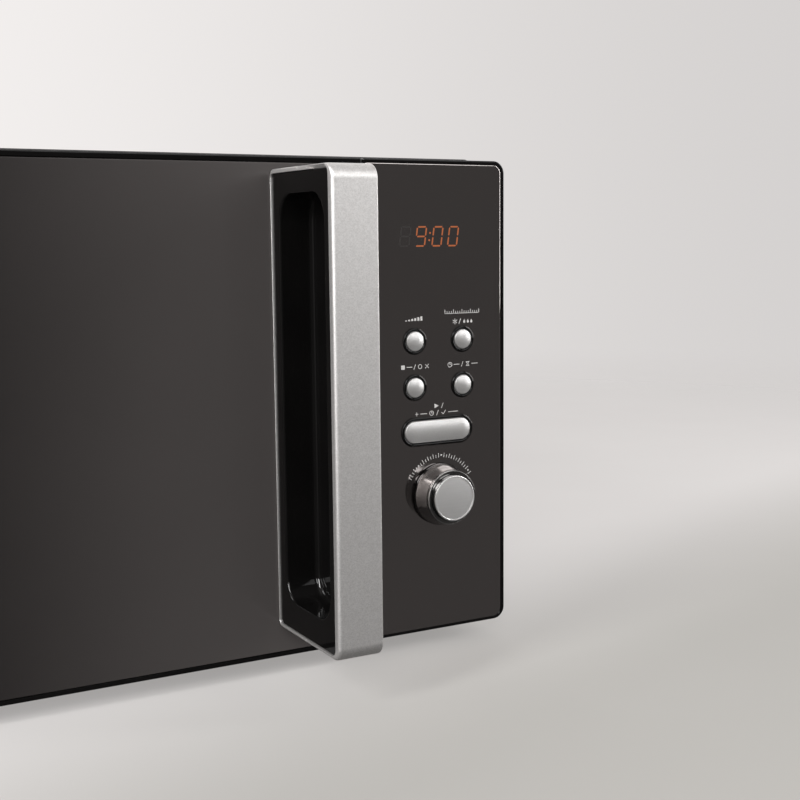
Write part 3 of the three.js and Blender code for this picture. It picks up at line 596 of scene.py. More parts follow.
def bezel_body(name, node, glass):
    """Bezel rim with a rounded front edge and the seat that its glass lies in."""
    low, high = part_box(node)
    outline = box_outline(xz(low), xz(high), face_radii(node, BEZEL_CORNER, SEAM_CORNER))
    body = solid(name, along_y(outline, [(0, high.y)] + edge(BEZEL_EDGE, low.y)))
    glass_low, glass_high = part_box(glass)
    seat = box_outline(xz(glass_low), xz(glass_high), face_radii(node, GLASS_CORNER, 0.6 * MM))
    seat_back, mouth = glass_high.y + GAP, -GAP - SEAT_LIP
    pocket = [(-GAP, seat_back), (-GAP, low.y + SEAT_LIP), (mouth, low.y), (mouth, low.y - 2 * MM)]
    carve(body, solid("cutter", along_y(seat, pocket)))
    return body, seat_back


def door_axis():
    joint = next(j for j in frame["joints"] if j["name"] == "door_hinge")
    return Vector(joint["pos_m"])


def wedge_behind_hinge(radius, z):
    """Everything beyond the radius at the door's back left edge, which turns past the cabinet."""
    axis = door_axis()
    reach = SWING + 4 * MM
    outline = [(axis.x - reach, axis.y), *arc(axis, radius, 180, 90, CORNER_STEPS),
               (axis.x, axis.y + reach), (axis.x - reach, axis.y + reach)]
    return solid("cutter", [[(x, y, height) for x, y in outline] for height in z])


def arm_room(node, on_top):
    """A notch where one of the cabinet's hinge arms reaches into the door."""
    axis, (low, high) = door_axis(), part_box(node)
    bottom = high.z - HINGE_ARM if on_top else low.z
    y = axis.y - 9.5 * MM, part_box("door_bezel")[1].y + 2 * MM
    z = bottom - 0.5 * MM, bottom + HINGE_ARM + 0.5 * MM
    return block((low.x - 8 * MM, axis.x + 7 * MM), y, z)


def door_bezel():
    low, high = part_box("door_bezel")
    body, seat_back = bezel_body("door_bezel_shell", "door_bezel", "door_glass")
    rim, z = DOOR_RIM, (low.z - MM, high.z + MM)
    window = block((low.x + rim, high.x - rim), (low.y, high.y), (low.z + rim, high.z - rim))
    x = low.x + WALL, high.x - WALL
    hollow = block(x, (seat_back + WALL, high.y + MM), (low.z + WALL, high.z - WALL))
    carve(hollow, wedge_behind_hinge(SWING - WALL, z))
    rooms = arm_room("upper_hinge", True), arm_room("lower_hinge", False)
    carve(body, window, hollow, wedge_behind_hinge(SWING, z), *rooms)
    soften(body, 0.25 * MM)
    finish(body, "door", "gloss_black", "door_bezel")


def control_housing():
    low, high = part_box("control_housing")
    body, seat_back = bezel_body("control_panel_shell", "control_housing", "control_glass")
    x, z = (low.x + 6 * MM, high.x - 8 * MM), (low.z + 10 * MM, high.z - 10 * MM)
    window = block(x, (low.y, high.y), z)
    x, z = (low.x + WALL, high.x - WALL - MM), (low.z + WALL + MM, high.z - WALL - MM)
    carve(body, window, block(x, (seat_back + WALL, high.y + MM), z))
    soften(body, 0.25 * MM)
    finish(body, "cabinet", "gloss_black", "control_housing")


def glass_plate(name, node):
    """A pane with a ground and polished edge."""
    low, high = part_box(node)
    outline = box_outline(xz(low), xz(high), face_radii(node, GLASS_CORNER, 0.5 * MM))
    back = [(GLASS_EDGE / 2, high.y), (0, high.y - GLASS_EDGE / 2)]
    return solid(name, along_y(outline, back + edge(GLASS_EDGE, low.y)))


def door_glass():
    pane = glass_plate("door_pane", "door_glass")
    finish(pane, "door", "door_glass", "door_glass", slot="mirror_glass")


# ---- buttons

RING_OUTER = 6.94 * MM
RING_BORE = 5.4 * MM
RING_PROUD = 0.9 * MM
RING_BACK = FRONT + 4.1 * MM
RING_PLAY = 0.15 * MM  # round each ring in the glass, and round the start button
START_RING = 1.95 * MM
START_FLANGE = 1.35 * MM
KEY_FLANGE = FRONT + 6.2 * MM
KEY_BACK = KEY_FLANGE + 1.2 * MM
KEY_CROWN = 0.8 * MM
SHAFT_HOLE = 5 * MM


def capsule(grow):
    """The start button's outline, grown by a margin, as a function of inset."""
    low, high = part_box("start_button")
    by = 1.5 * MM - grow  # the box takes in the flange behind the cap
    radius = (high.z - low.z) / 2 - by
    return box_outline((low.x + by, low.z + by), (high.x - by, high.z - by), [radius - TINY] * 4)


def control_glass():
    pane = glass_plate("control_pane", "control_glass")
    through = (FRONT - MM, FRONT + 6 * MM)

    def hole(node, radius):
        return solid("cutter", lathe([(radius, y) for y in through], xz(middle(node))))

    slot = solid("cutter", along_y(capsule(START_RING + RING_PLAY), [(0, y) for y in through]))
    holes = [hole(node, RING_OUTER + RING_PLAY) for node in BUTTON_NODES]
    carve(pane, *holes, slot, hole("knob", SHAFT_HOLE))
    finish(pane, "cabinet", "mirror_glass", "control_glass")


def ring_section(width):
    """The surround's round-topped section as (inset from the outer edge, y) pairs."""
    half = width / 2
    top = arc((half, FRONT - RING_PROUD + half), half, 180, 360, 2 * EDGE_STEPS + 2)
    return [(0, RING_BACK), *top, (width, RING_BACK), (0, RING_BACK)]


def button_surround():
    """The black rings round the buttons, on the plate behind the glass that carries them."""
    section = [(RING_OUTER - by, y) for by, y in ring_section(RING_OUTER - RING_BORE)]
    lofts = [lathe(section, xz(middle(node))) for node in BUTTON_NODES]
    lofts.append(along_y(capsule(START_RING), ring_section(START_RING - 0.3 * MM)))
    low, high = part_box("button_surround")
    plate = box_outline(xz(low), xz(high), [2 * MM] * 4)
    lofts.append(along_y(plate, [(0, RING_BACK + 1.6 * MM), (0, RING_BACK + TINY)]))
    rings = solid("button_rings", *lofts)
    finish(rings, "cabinet", "gloss_black", "button_surround", angle=50)


def dome(radius, front, rim, steps, inner=0):
    """A shallow crowned cap with a rounded rim: (radius, y) pairs from the middle out."""
    pairs = []
    for step in range(steps + 1):
        share = step / steps
        pairs.append((inner + (radius - rim - inner) * share, front + KEY_CROWN * share ** 2))
    return pairs + arc((radius - rim, front + KEY_CROWN + rim), rim, -90, 0, EDGE_STEPS)[1:]


def round_buttons():
    for node in BUTTON_NODES:
        low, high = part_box(node)
        flange = half_width(node)
        radius = flange - 1.4 * MM
        profile = [(TINY, low.y), *dome(radius, low.y, 0.8 * MM, 9)[1:], (radius, KEY_FLANGE),
                   (flange, KEY_FLANGE), (flange, KEY_BACK), (2 * MM, KEY_BACK),
                   (2 * MM, high.y), (TINY, high.y)]
        name = node.replace("button", "key")
        key = solid(name, lathe(profile, xz(middle(node))))
        finish(key, name, "button_silver", node, slot="satin_silver")


def start_button():
    low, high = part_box("start_button")
    half = (high.z - low.z) / 2 - START_FLANGE
    face = [(half - radius, y) for radius, y in dome(half, low.y, 0.9 * MM, 7, 4 * TINY)]
    face += [(0, KEY_FLANGE), (-START_FLANGE, KEY_FLANGE), (-START_FLANGE, KEY_BACK)]
    key = solid("start_key", along_y(capsule(RING_PLAY), face))
    finish(key, "start_key", "button_silver", "start_button", slot="satin_silver")


# ---- dial

SKIRT = 1.9 * MM  # foot of the dial, black as painted shade for the shadow gap where it meets the panel
RIM_TAPER = 2 * MM  # the dial narrows by this towards its face
CAP_EDGE = 0.35 * MM
CAP_LIFT = 0.75 * MM  # cap's face to its collar


def turned(name, profile, material, *nodes, **settings):
    """A piece of the dial, turned on the knob's axis."""
    piece = solid(name, lathe(profile, xz(middle("knob")), FINE))
    finish(piece, "dial", material, *nodes, **settings)


def knob():
    low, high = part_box("knob")
    face, back = low.y, high.y - SKIRT
    base, rim = half_width("knob") - 0.15 * MM, half_width("knob") - RIM_TAPER
    profile = [
        *near(0, face, (3.3, 0.8), (12.4, 0.8), (12.4, 0.15), (12.55, 0)),
        *near(rim, face, (-0.5, 0), (-0.15, 0.15), (0, 0.5), (0, 0.9)),
        *near(rim, face, (-0.35, 1.0), (-0.35, 1.5), (0.15, 1.6)),
        *near(rim, back, (1.1, -2.2)), *near(base, back, (-0.35, -0.9), (-0.05, -0.35), (-0.05, 0)),
        *near(0, back, (3.3, 0)), *near(0, face, (3.3, 0.8)),
    ]
    turned("dial_body", profile, "gunmetal", "knob")


def knob_skirt():
    """The dial's foot, hollow round its boss. It is black as painted shade for the shadow in the gap
    where the dial meets the panel.
    """
    back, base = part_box("knob")[1].y, half_width("knob")
    top = back - SKIRT + TINY
    profile = [
        *near(0, top, (3.3, 0)), *near(base, top, (-0.3, 0), (-0.1, 0.1), (0, 0.35)),
        *near(base, back, (0, -0.25), (-0.25, 0), (-2, 0), (-2.3, -1.2)),
        *near(0, back, (7.5, -1.2), (7.5, 0), (3.3, 0)), *near(0, top, (3.3, 0)),
    ]
    turned("dial_skirt", profile, "gloss_black", slot="gunmetal")


def knob_trim():
    """The bright line turned into the dial's rim."""
    rim = half_width("knob") - RIM_TAPER
    profile = near(rim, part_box("knob")[0].y, (-0.62, 0.1), (-0.62, -0.04), (-0.52, -0.14),
                   (-0.35, -0.14), (-0.2, 0), (-0.2, 0.1), (-0.62, 0.1))
    turned("dial_trim", profile, "chrome", slot="gunmetal")


def knob_cap():
    """The dial's cap: a silver disc with a bright turned edge, set in a dark polished collar."""
    low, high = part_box("knob_cap")
    radius, lift = half_width("knob_cap"), low.y + CAP_LIFT
    disc = radius - 0.22 * MM
    profile = [(TINY, lift), (disc, lift)]
    profile += arc((disc - CAP_EDGE, low.y + 0.4 * MM), CAP_EDGE, 0, -90, EDGE_STEPS)
    profile += near(disc, low.y, (-0.7, 0.05), (-0.9, 0.32))
    for step in range(1, 7):
        left = 1 - step / 6
        profile.append((TINY + (disc - 0.9 * MM) * left, low.y + TINY + 0.3 * MM * left ** 2))
    turned("dial_cap", profile, "brushed_silver", "knob_cap", slot="satin_silver", angle=50)
    inner, outer = disc - 2 * MM, disc + TINY
    collar = [(inner, high.y), (radius, high.y), *near(radius, lift, (0, 0), (-0.15, -0.15)),
              (outer, lift - 0.15 * MM), (outer, lift + TINY), (inner, lift + TINY),
              (inner, high.y)]
    turned("dial_collar", collar, "gunmetal", slot="satin_silver")


# ---- handle

HANDLE_BEND = 7 * MM
HANDLE_BACK_BEND = 4 * MM
SHELL = 2 * MM  # silver wall that shows at the top and bottom
FRONT_WALL = 4.2 * MM
FRONT_EDGE = 2 * MM  # rounding of the front's left edge
RIGHT_EDGE = 0.8 * MM
INSERT_STEP = 0.8 * MM  # insert set back from the shell's left rim
INSERT_PLAY = 0.15 * MM
END_EDGE = 1.6 * MM  # rounding of the rim along the lower end
THIN_LINE = 0.5 * MM  # flat rim left outside the chamfer
CHAMFER = 1.2 * MM  # depth of the chamfer inside the rim's upper end
REAR_RIM = 0.9 * MM  # silver rim along the door
RIM_TONGUE = 16 * MM  # seam to the tip of the slanting cut
RIM_SLANT = 5.8
SEAM_HALF = 0.12 * MM  # half the gap between the shell's halves
POCKET = {"front": 9 * MM, "back": 58 * MM, "low": 15.7 * MM, "high": 12.2 * MM, "corner": 13 * MM}
POCKET_LIP = 1.2 * MM
POCKET_FILLET = 3 * MM
POCKET_WALL = 2 * MM


def handle_limits():
    """The whole handle's lowest and highest corners."""
    cover_low, cover_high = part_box("handle_cover")
    base_low, base_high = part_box("handle_base")
    low = Vector((cover_low.x, cover_low.y, min(cover_low.z, base_low.z)))
    high = Vector((cover_high.x, FRONT - GAP, max(cover_high.z, base_high.z)))
    return low, high


def handle_ring(x, nose, ends, rear=None):
    """The handle's side view at x, inset by a margin at the front, the two ends and the rear."""
    low, high = handle_limits()
    rear = ends if rear is None else rear
    front = max(HANDLE_BEND - (nose + ends) / 2, MM)
    back = max(HANDLE_BACK_BEND - max(ends, rear), MM)
    corners = (low.y + nose, low.z + ends), (high.y - rear, high.z - ends)
    return [(x, y, z) for y, z in rounded(*corners, [front, back, back, front])]


def handle_shell(name, nose, ends):
    """The silver shell as a cup that opens to the left, before it is split into its two halves."""
    low, high = handle_limits()
    rings = [handle_ring(x, FRONT_WALL, SHELL, REAR_RIM) for x in (high.x - SHELL, low.x)]
    rings += [handle_ring(low.x + nose * depth, nose * inset, ends * inset)
              for inset, depth in reversed(edge(1.0, 0))]
    rings += [handle_ring(high.x - depth, inset, inset) for inset, depth in edge(RIGHT_EDGE, 0)]
    return solid(name, rings)


def seam_place():
    return (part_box("handle_cover")[1].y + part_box("handle_base")[0].y) / 2


def rim_zone():
    """Where the shell keeps its flat rim: everything behind a slanting cut in front of the seam."""
    low, high = handle_limits()
    tip = seam_place() - RIM_TONGUE
    start, end = tip - RIM_SLANT * MM, tip + RIM_SLANT * (SHELL + MM)
    ahead, behind, waist = low.y - 5 * MM, high.y + 9 * MM, low.z + 30 * MM
    return [(end, high.z + MM), (start, high.z - SHELL - MM), (start, waist), (ahead, waist),
            (ahead, low.z - MM), (behind, low.z - MM), (behind, high.z + MM)]


def top_chamfer():
    """Cutter for the chamfer inside the rim's upper end, ahead of the slanting cut."""
    left = handle_limits()[0].x
    steps = [(-MM, THIN_LINE), (0, THIN_LINE), (CHAMFER, SHELL + TINY)]
    rings = [handle_ring(left + x, FRONT_WALL + TINY, ends, REAR_RIM + TINY) for x, ends in steps]
    cutter = solid("cutter", rings)
    carve(cutter, prism(rim_zone(), (left - 2 * MM, left + 4 * MM)))
    return cutter


def low_rounding(nose):
    """Cutter that rounds the rim's lower end off; nose is the front edge's own rounding."""
    low, high = handle_limits()
    rings = [handle_ring(low.x + 6 * MM, -TINY, -TINY)]
    for inset, depth in edge(1.0, 0) + [(1.0, -1.0)]:
        margins = nose * inset - TINY, END_EDGE * inset - TINY, -TINY
        rings.append(handle_ring(low.x + FRONT_EDGE * depth, *margins))
    y, z = (low.y - MM, high.y + MM), (low.z - MM, low.z + 30 * MM)
    cutter = block((low.x - MM, low.x + FRONT_EDGE), y, z)
    carve(cutter, solid("core", rings))
    return cutter


def handle_half(node, shell, taken, *cutters):
    """One half of the shell; taken is the range of y that the other half fills."""
    low, high = handle_limits()
    carve(shell, block((low.x - MM, high.x + MM), taken, (low.z - MM, high.z + MM)), *cutters)
    soften(shell, 0.12 * MM, 1, 60)
    finish(shell, "door", "satin_silver", node)


def handle_base():
    """The half against the door, with a flat silver rim round the insert."""
    shell = handle_shell("handle_back_shell", 0.5 * MM, 0.5 * MM)
    taken = handle_limits()[0].y - MM, seam_place() + SEAM_HALF
    handle_half("handle_base", shell, taken, low_rounding(0))


def handle_cover():
    """The front half. Ahead of the slanting cut its rim slopes in from a thin bright line."""
    shell = handle_shell("handle_front_shell", FRONT_EDGE, 0.25 * MM)
    taken = seam_place() - SEAM_HALF, handle_limits()[1].y + MM
    handle_half("handle_cover", shell, taken, low_rounding(FRONT_EDGE), top_chamfer())


def handle_recess():
    """The black insert: a flat glossy border and the finger pocket."""
    low, high = handle_limits()
    left, floor = low.x + INSERT_STEP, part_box("handle_recess")[1].x
    pocket_low = (FRONT - POCKET["back"], low.z + POCKET["low"])
    pocket_high = (FRONT - POCKET["front"], high.z - POCKET["high"])
    mouth = box_outline(pocket_low, pocket_high, [POCKET["corner"]] * 4)
    rings = []
    for by, x in [(0, 2 * MM), (0, 0.2 * MM), (0.2 * MM, 0)]:
        by += INSERT_PLAY
        rings.append(handle_ring(left + x, FRONT_WALL + by, SHELL + by, REAR_RIM + by))
    rings += along_x(mouth, [(-by, left + depth) for by, depth in reversed(edge(POCKET_LIP, 0))])
    fillet = edge(POCKET_FILLET, 0)
    rings += along_x(mouth, [(by, floor - POCKET_WALL - depth) for by, depth in fillet])
    tub = [(-POCKET_WALL, left + 2 * MM), (-POCKET_WALL, floor - POCKET_FILLET),
           (POCKET_FILLET - POCKET_WALL, floor)]
    insert = solid("handle_insert", rings[::-1] + along_x(mouth, tub))
    finish(insert, "door", "gloss_black", "handle_recess", angle=40)


# ---- display and printed marks, in millimetres

MARK_PROUD = 0.03 * MM
STROKE = 0.34
DIGIT_WIDTH, DIGIT_HEIGHT, DIGIT_STROKE, DIGIT_SLANT = 5.4, 9.8, 0.8, 0.14
DIGIT_FOOT = -2.25  # below the display's middle
SEGMENTS = {"a": ((0, 1), (1, 1)), "b": ((1, 1), (1, 0.5)), "c": ((1, 0.5), (1, 0)),
            "d": ((0, 0), (1, 0)), "e": ((0, 0.5), (0, 0)), "f": ((0, 1), (0, 0.5)),
            "g": ((0, 0.5), (1, 0.5))}
NUMERALS = {"0": "abcdef", "9": "abcdfg", "8": "abcdefg"}


def flat_piece(name, material, slot, signs):
    """Thin flat shapes on the front of the glass, drawn about the middle of each node."""
    mesh = bmesh.new()
    for node, polygons in signs.items():
        centre = middle(node)
        for polygon in polygons:
            turns = zip(polygon, polygon[1:] + polygon[:1])
            area = sum(a[0] * b[1] - b[0] * a[1] for a, b in turns)
            points = polygon if area > 0 else polygon[::-1]
            loft(mesh, [[(centre.x + x * MM, y, centre.z + z * MM) for x, z in points]
                        for y in (FRONT - MARK_PROUD, FRONT + TINY / 2)])
    finish(make(name, mesh, merge=False), "cabinet", material, slot=slot)


def ribbon(*points):
    """A line through the points, as one quad for each stretch."""
    quads = []
    for (x0, z0), (x1, z1) in zip(points, points[1:]):
        length = math.hypot(x1 - x0, z1 - z0)
        ux, uz = (x1 - x0) / length * STROKE / 2, (z1 - z0) / length * STROKE / 2
        quads.append([(x0 - ux + uz, z0 - uz - ux), (x1 + ux + uz, z1 + uz - ux),
                      (x1 + ux - uz, z1 + uz + ux), (x0 - ux - uz, z0 - uz + ux)])
    return quads


def hoop(x, z, radius):
    """A circle's outline as short stretches."""
    outer, inner = circle(x, z, radius + STROKE / 2), circle(x, z, radius - STROKE / 2)
    return [[outer[i - 1], outer[i], inner[i], inner[i - 1]] for i in range(len(outer))]


def digit(numeral, x):
    """A seven-segment numeral with its low left corner at x."""
    polygons = []
    half, cut = DIGIT_STROKE / 2, DIGIT_STROKE * 0.4
    for name in NUMERALS[numeral]:
        (ax, az), (bx, bz) = [(px * DIGIT_WIDTH, pz * DIGIT_HEIGHT) for px, pz in SEGMENTS[name]]
        length = math.hypot(bx - ax, bz - az)
        ux, uz, far = (bx - ax) / length, (bz - az) / length, length - cut
        bar = [(cut + half, half), (cut, 0), (cut + half, -half),
               (far - half, -half), (far, 0), (far - half, half)]
        points = [(ax + ux * s - uz * t, az + uz * s + ux * t) for s, t in bar]
        polygons.append([(x + px + pz * DIGIT_SLANT, DIGIT_FOOT + pz) for px, pz in points])
    return polygons


def display():
    """The clock shows 9:00. Its first digit is dark."""
    lit = digit("9", -12.1) + digit("0", -2.2) + digit("0", 7.3)
    for rise in (0.3 * DIGIT_HEIGHT, 0.68 * DIGIT_HEIGHT):
        lit.append(circle(-4.2 + DIGIT_SLANT * rise, DIGIT_FOOT + rise, 0.55, 12))
    dark = digit("8", -21.4)
    flat_piece("display_digits", "segment_lit", "mirror_glass", {"display_module": lit})
    flat_piece("display_dark_digit", "segment_unlit", "mirror_glass", {"display_module": dark})


def level_bars(z, width, height, count):
    """A stepped level mark, for power."""
    pitch, foot = width / count, z - height / 2
    lefts = [i * pitch - width / 2 for i in range(count)]
    return [rectangle(left, foot, left + 0.62 * pitch, foot + (i + 1) * height / count)
            for i, left in enumerate(lefts)]


def snow_star(x, z, radius):
    tips = arc((x, z), radius, 30, 330, 5)
    return [quad for end, start in zip(tips, tips[3:]) for quad in ribbon(start, end)]


def drop(x, z, size):
    return [(x, z + size)] + arc((x, z - 0.3 * size), 0.6 * size, 40, -220, 13)


def scale_row(z, width, ticks):
    """A measuring scale: a base line with ticks on it."""
    marks = ribbon((-width / 2, z - 0.9), (width / 2, z - 0.9))
    for i in range(ticks + 1):
        x = width * i / ticks - width / 2
        marks += ribbon((x, z - 0.9), (x, z + (0.2 if i % 4 else 1.0)))
    return marks


def dash(x0, x1, z):
    return ribbon((x0, z), (x1, z))


def slash(x, z):
    return ribbon((x - 0.5, z - 1.2), (x + 0.5, z + 1.2))


def cross(x, z, size):
    return (ribbon((x - size, z - size), (x + size, z + size))
            + ribbon((x - size, z + size), (x + size, z - size)))


def clock_face(x, z, radius):
    return hoop(x, z, radius) + ribbon((x, z + 0.6 * radius), (x, z), (x + 0.45 * radius, z))


def hourglass(x, z, size):
    return ribbon((x - size, z + size), (x + size, z + size), (x - size, z - size),
                  (x + size, z - size), (x - size, z + size))


def plus(x, z, size):
    return dash(x - size, x + size, z) + ribbon((x, z - size), (x, z + size))


def tick_mark(x, z, size):
    return ribbon((x - size, z), (x - 0.2 * size, z - 0.8 * size), (x + size, z + 0.9 * size))


def dial_scale(radius):
    """Ticks and dots on an arc over the dial."""
    marks = []
    for i in range(28):
        angle = math.radians(152 - 4.6 * i)
        reach = radius, radius - 1, radius + (1 if i % 2 else 0.3)
        level, *ends = [(r * math.cos(angle), r * math.sin(angle)) for r in reach]
        marks += [circle(*level, 0.5, 12)] if i in (5, 14, 26) else ribbon(*ends)
    return marks


def panel_marks():
    """Plain signs in place of words: they say what each control does and name nothing."""
    row, low, top = 10.9, 9.4, 13.1
    flat_piece("panel_signs", "legend_ink", "moulded_white", {
        "power_button": level_bars(11.7, 11, 2.2, 6),
        "defrost_button": scale_row(14.6, 21, 16) + snow_star(-4.4, low, 1.35) + slash(-1.4, low)
        + [drop(x, low, 1.1) for x in (1.4, 3.6, 5.8)],
        "stop_button": [rectangle(-8.1, row - 1.1, -5.9, row + 1.1)] + dash(-4.6, -1.6, row)
        + slash(0, row) + hoop(3.2, row, 1.1) + cross(7.4, row, 0.95),
        "clock_button": clock_face(-7.6, row, 1.25) + dash(-5, -1.9, row) + slash(0, row)
        + hourglass(3.4, row, 1.05) + dash(6, 9.6, row),
        "start_button": [[(-1.6, top - 1.2), (1.1, top), (-1.6, top + 1.2)]] + slash(3.2, top)
        + plus(-12.4, low, 0.8) + dash(-10.2, -6.4, low) + clock_face(-3.4, low, 1.2)
        + slash(0.2, low) + tick_mark(4, low, 1.2) + dash(7, 12.6, low),
        "knob": dial_scale(20.8),
    })


# ---- cabinet, turntable and inner pieces

def softened_copy(node, material, width):
    """A CAD solid with its knife-sharp edges rounded off."""
    mesh = bmesh.new()
    mesh.from_mesh(NODES[node].data)
    bmesh.ops.remove_doubles(mesh, verts=mesh.verts, dist=1e-6)
    piece = make(node + "_finished", mesh)
    soften(piece, width)
    finish(piece, NODES[node]["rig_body"], material, node)


def standing(name, node, body, material, sides, profile):
    """A piece turned on an upright axis through its node's middle."""
    piece = solid(name, lathe(profile, middle(node)[:2], sides, "Z"))
    finish(piece, body, material, node)


def feet():
    for node in ("foot_front_left", "foot_front_right", "foot_rear_left", "foot_rear_right"):
        low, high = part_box(node)
        standing(node.replace("foot", "rubber_foot"), node, "cabinet", "foot_rubber", ROUND, [
            (TINY, low.z + 1.4 * MM),
            *near(0, low.z, (5, 1.4), (5.6, 0), (10.2, 0), (11.2, 0.3), (11.8, 1.1), (12.3, 3)),
            *near(half_width(node), high.z, (-0.5, -1.2), (0, -0.7), (0, 0)), (TINY, high.z)])


def glass_turntable():
    low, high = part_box("glass_turntable")
    radius = half_width("glass_turntable")
    standing("turntable_dish", "glass_turntable", "turntable", "clear_glass", FINE, [
        (TINY, low.z), *near(0, low.z, (22, 0), (23, 0.4)),
        *near(radius, low.z, (-18, 0.4), (-16, 0.1), (-14, 0.6), (-1.2, 7), (-0.2, 8.2), (0, 9.2)),
        *near(radius, high.z, (-0.5, -0.3), (-1.6, 0), (-3.2, -0.9)),
        *near(radius, low.z, (-15, 5.2), (-18, 4)),
        *near(0, low.z, (40, 4), (39, 3.5), (36, 3.5), (35, 4)), (TINY, low.z + 4 * MM)])


SOFTENED = [  # material, with each node's edge width in millimetres
    ("black_paint", {"outer_cover": 0.35}),
    ("enamel", {"front_plate": 0.2, "cavity_liner": 0.25}),
    ("zinc_steel", {"back_panel": 0.25, "base_plate": 0.2}),
    ("moulded_black", {"cord_inlet": 0.3}),
    ("zinc_steel", dict.fromkeys(["cover_screw_left", "cover_screw_right",
                                  "upper_hinge", "lower_hinge"], 0.2)),
    ("moulded_black", {"choke_cover": 0.3}),
    ("moulded_white", {"door_latch": 0.25, "turntable_coupler": 0.4, "roller_ring": 0.4,
                       "roller_right": 0.5, "roller_rear": 0.5, "roller_front": 0.5}),
    ("mica", {"waveguide_cover": 0.1}),
    ("clear_glass", {"inner_window": 0.2}),
]

KEPT = {
    "black_paint": ["door_frame"],
    "perforated_screen": ["door_screen"],
    "moulded_black": ["display_module", "fan_shroud", "fan_blade", "thermal_cutout",
                      "upper_door_switch", "lower_door_switch"],
    "circuit_board": ["control_board", "noise_filter_board"],
    "zinc_steel": ["encoder_body", "encoder_shaft", "turntable_motor", "waveguide", "magnetron"],
    "lamination": ["transformer_core", "fan_motor"],
    "copper": ["transformer_winding"],
    "can_aluminium": ["capacitor"],
    "clear_glass": ["oven_lamp"],
    "moulded_white": ["interlock_bracket"],
}


def dress_nodes(material, nodes):
    """The look of CAD nodes that stay as they are, or that only collide."""
    for node in nodes:
        for slot in NODES[node].material_slots:
            slot.material = MATERIALS[material]


# ---- stage

CAMERA_PLACE = Vector((-0.15857, -0.71089, 0.21906))
CAMERA_RIGHT = Vector((0.87521502, -0.48363236, -0.00992059))
CAMERA_DOWN = Vector((-0.06859713, -0.10378485, -0.99223139))
CAMERA_FORWARD = Vector((0.4788456, 0.86909634, -0.12400985))
LENS = 57.7  # millimetres on a 36 millimetre sensor
FRONT_DIM = 0.087  # the studio's brightness in front, as a share of that behind
FLOOR_GLOW = 1.15
FLOOR_RINGS = [0.0005, 0.25, 0.5, 0.8, 1.2, 1.8, 2.4]
LIGHTS = {  # place, aim, size and power in watts
    "front_softbox": ((0.62, -1.27, 0.78), (0.1, -0.15, 0.2), (0.8, 0.7), 5.0),
    "left_softbox": ((-0.45, -1.3, 0.8), (0.05, -0.15, 0.15), (0.6, 0.5), 8.0),
    "left_strip": ((-1.15, -0.65, 0.8), (0.0, -0.17, 0.2), (0.3, 0.9), 26.0),
    "right_strip": ((1.25, -0.6, 0.5), (0.15, -0.15, 0.15), (0.3, 0.8), 9.0),
    "rear_fill": ((0.6, 1.1, 1.3), (0.1, 0.0, 0.1), (1.2, 1.0), 1.5),
}


def camera():
    data = bpy.data.cameras.new("camera")
    data.lens, data.sensor_width = LENS, 36
    data.clip_start, data.clip_end = 0.01, 50
    made = bpy.data.objects.new("camera", data)
    axes = Matrix((CAMERA_RIGHT, -CAMERA_DOWN, -CAMERA_FORWARD)).transposed()
    made.matrix_world = Matrix.Translation(CAMERA_PLACE) @ axes.to_4x4()
    bpy.context.scene.collection.objects.link(made)
    bpy.context.scene.camera = made


def lights():
    for name, (place, aim, size, power) in LIGHTS.items():
        data = bpy.data.lights.new(name, "AREA")
        data.shape, data.energy = "RECTANGLE", power
        data.size, data.size_y = size
        made = bpy.data.objects.new(name, data)
        made.location, made.rotation_mode = place, "QUATERNION"
        made.rotation_quaternion = (Vector(aim) - Vector(place)).to_track_quat("-Z", "Y")
        bpy.context.scene.collection.objects.link(made)


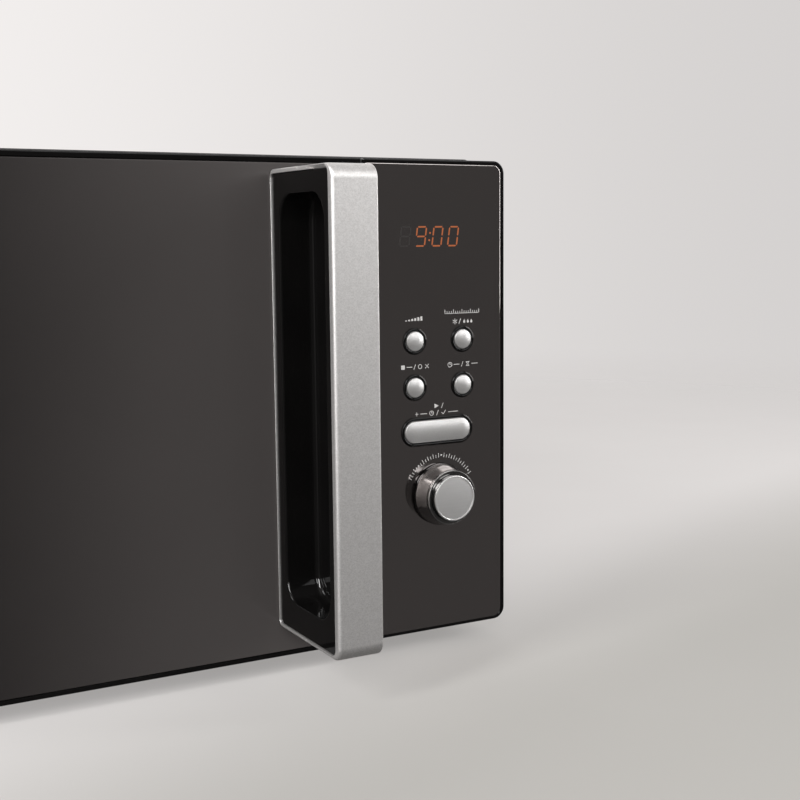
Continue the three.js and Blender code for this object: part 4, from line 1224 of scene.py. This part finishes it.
def world():
    """A pale studio wall, with a dim front half in what the oven's gloss reflects."""
    made = bpy.data.worlds.new("studio")
    bpy.context.scene.world = made
    made.use_nodes = True
    nodes = Nodes(made.node_tree, "Generated")
    x, y, z = nodes.axes()
    wall = nodes.smooth(x, 0.1, 0.78, 0.9, 0.66)
    depth = nodes.smooth(y, -0.45, 0.3, FRONT_DIM, 1.0)
    above = nodes.smooth(z, 0.35, 0.9, 0.0, 0.75)
    below = nodes.smooth(z, -0.4, -0.02, 0.2, 1.0)
    studio = nodes.maths("MULTIPLY", nodes.maths("MAXIMUM", depth, above), below)
    studio = nodes.maths("MULTIPLY", nodes.maths("MAXIMUM", studio, FRONT_DIM), 0.75)
    seen = nodes.node("LightPath").outputs["Is Camera Ray"]
    level = nodes.node("Mix", {0: seen, 2: studio, 3: wall}, data_type="FLOAT").outputs[0]
    background = nodes.tree.nodes["Background"]
    nodes.feed(background.inputs["Strength"], level)
    nodes.feed(background.inputs["Color"], (1.0, 0.968, 0.955, 1))


def floor_paint():
    """A pale floor with a painted shadow that makes it darker in front. It glows a little, which
    lightens the oven's shadow on it, and it fades into the backdrop.
    """
    paint = Paint("floor", 0.6, Specular_IOR_Level=0.1, Emission_Strength=FLOOR_GLOW)
    x, y, z = paint.axes()
    # painted shadow: the floor darkens in front of a slanting line across it
    back = paint.smooth(paint.weighed(x, -0.32, y, 0.947), -0.30, -0.06)
    tone = paint.maths("ADD", back, paint.spread(paint.noise(5, 4), 0, 1, -0.05, 0.05))
    shade = paint.blend(tone, (0.192, 0.1865, 0.177), (0.318, 0.308, 0.303))
    for socket in ("Base Color", "Emission Color"):
        paint.feed(paint.shader.inputs[socket], shade)
    paint.bump(paint.noise(500, 3), 20, 0.4)
    paint.roughness(paint.noise(8, 3), 0.5, 0.7)
    distance = paint.node("VectorMath", {0: paint.place}, operation="LENGTH").outputs["Value"]
    fade = paint.smooth(distance, 0.7, 2.0)
    clear = paint.node("BsdfTransparent").outputs[0]
    mix = paint.node("MixShader", {0: fade, 1: paint.shader.outputs[0], 2: clear})
    paint.feed(paint.tree.nodes["Material Output"].inputs["Surface"], mix.outputs[0])
    return paint.material


def floor():
    mesh = bmesh.new()
    rings = [circle(0, 0, radius, 96) for radius in FLOOR_RINGS]
    rows = [[mesh.verts.new((x, y, 0)) for x, y in ring] for ring in rings]
    for first, second in zip(rows, rows[1:]):
        for i in range(len(first)):
            mesh.faces.new((first[i - 1], second[i - 1], second[i], first[i]))
    mesh.faces.new(rows[0])
    made = make("floor", mesh, merge=False)
    made.visible_glossy = False
    made.data.materials.append(floor_paint())


# ---- assembly

bpy.context.scene.view_settings.view_transform = "Standard"
for build in (camera, world, floor, lights, door_bezel, door_glass, control_housing,
              control_glass, button_surround, round_buttons, start_button, knob, knob_skirt,
              knob_trim, knob_cap, handle_base, handle_cover, handle_recess, display,
              panel_marks, feet, glass_turntable):
    build()
for material, widths in SOFTENED:
    for node, width in widths.items():
        softened_copy(node, material, width * MM)
    dress_nodes(material, widths)
for material, nodes in KEPT.items():
    dress_nodes(material, nodes)
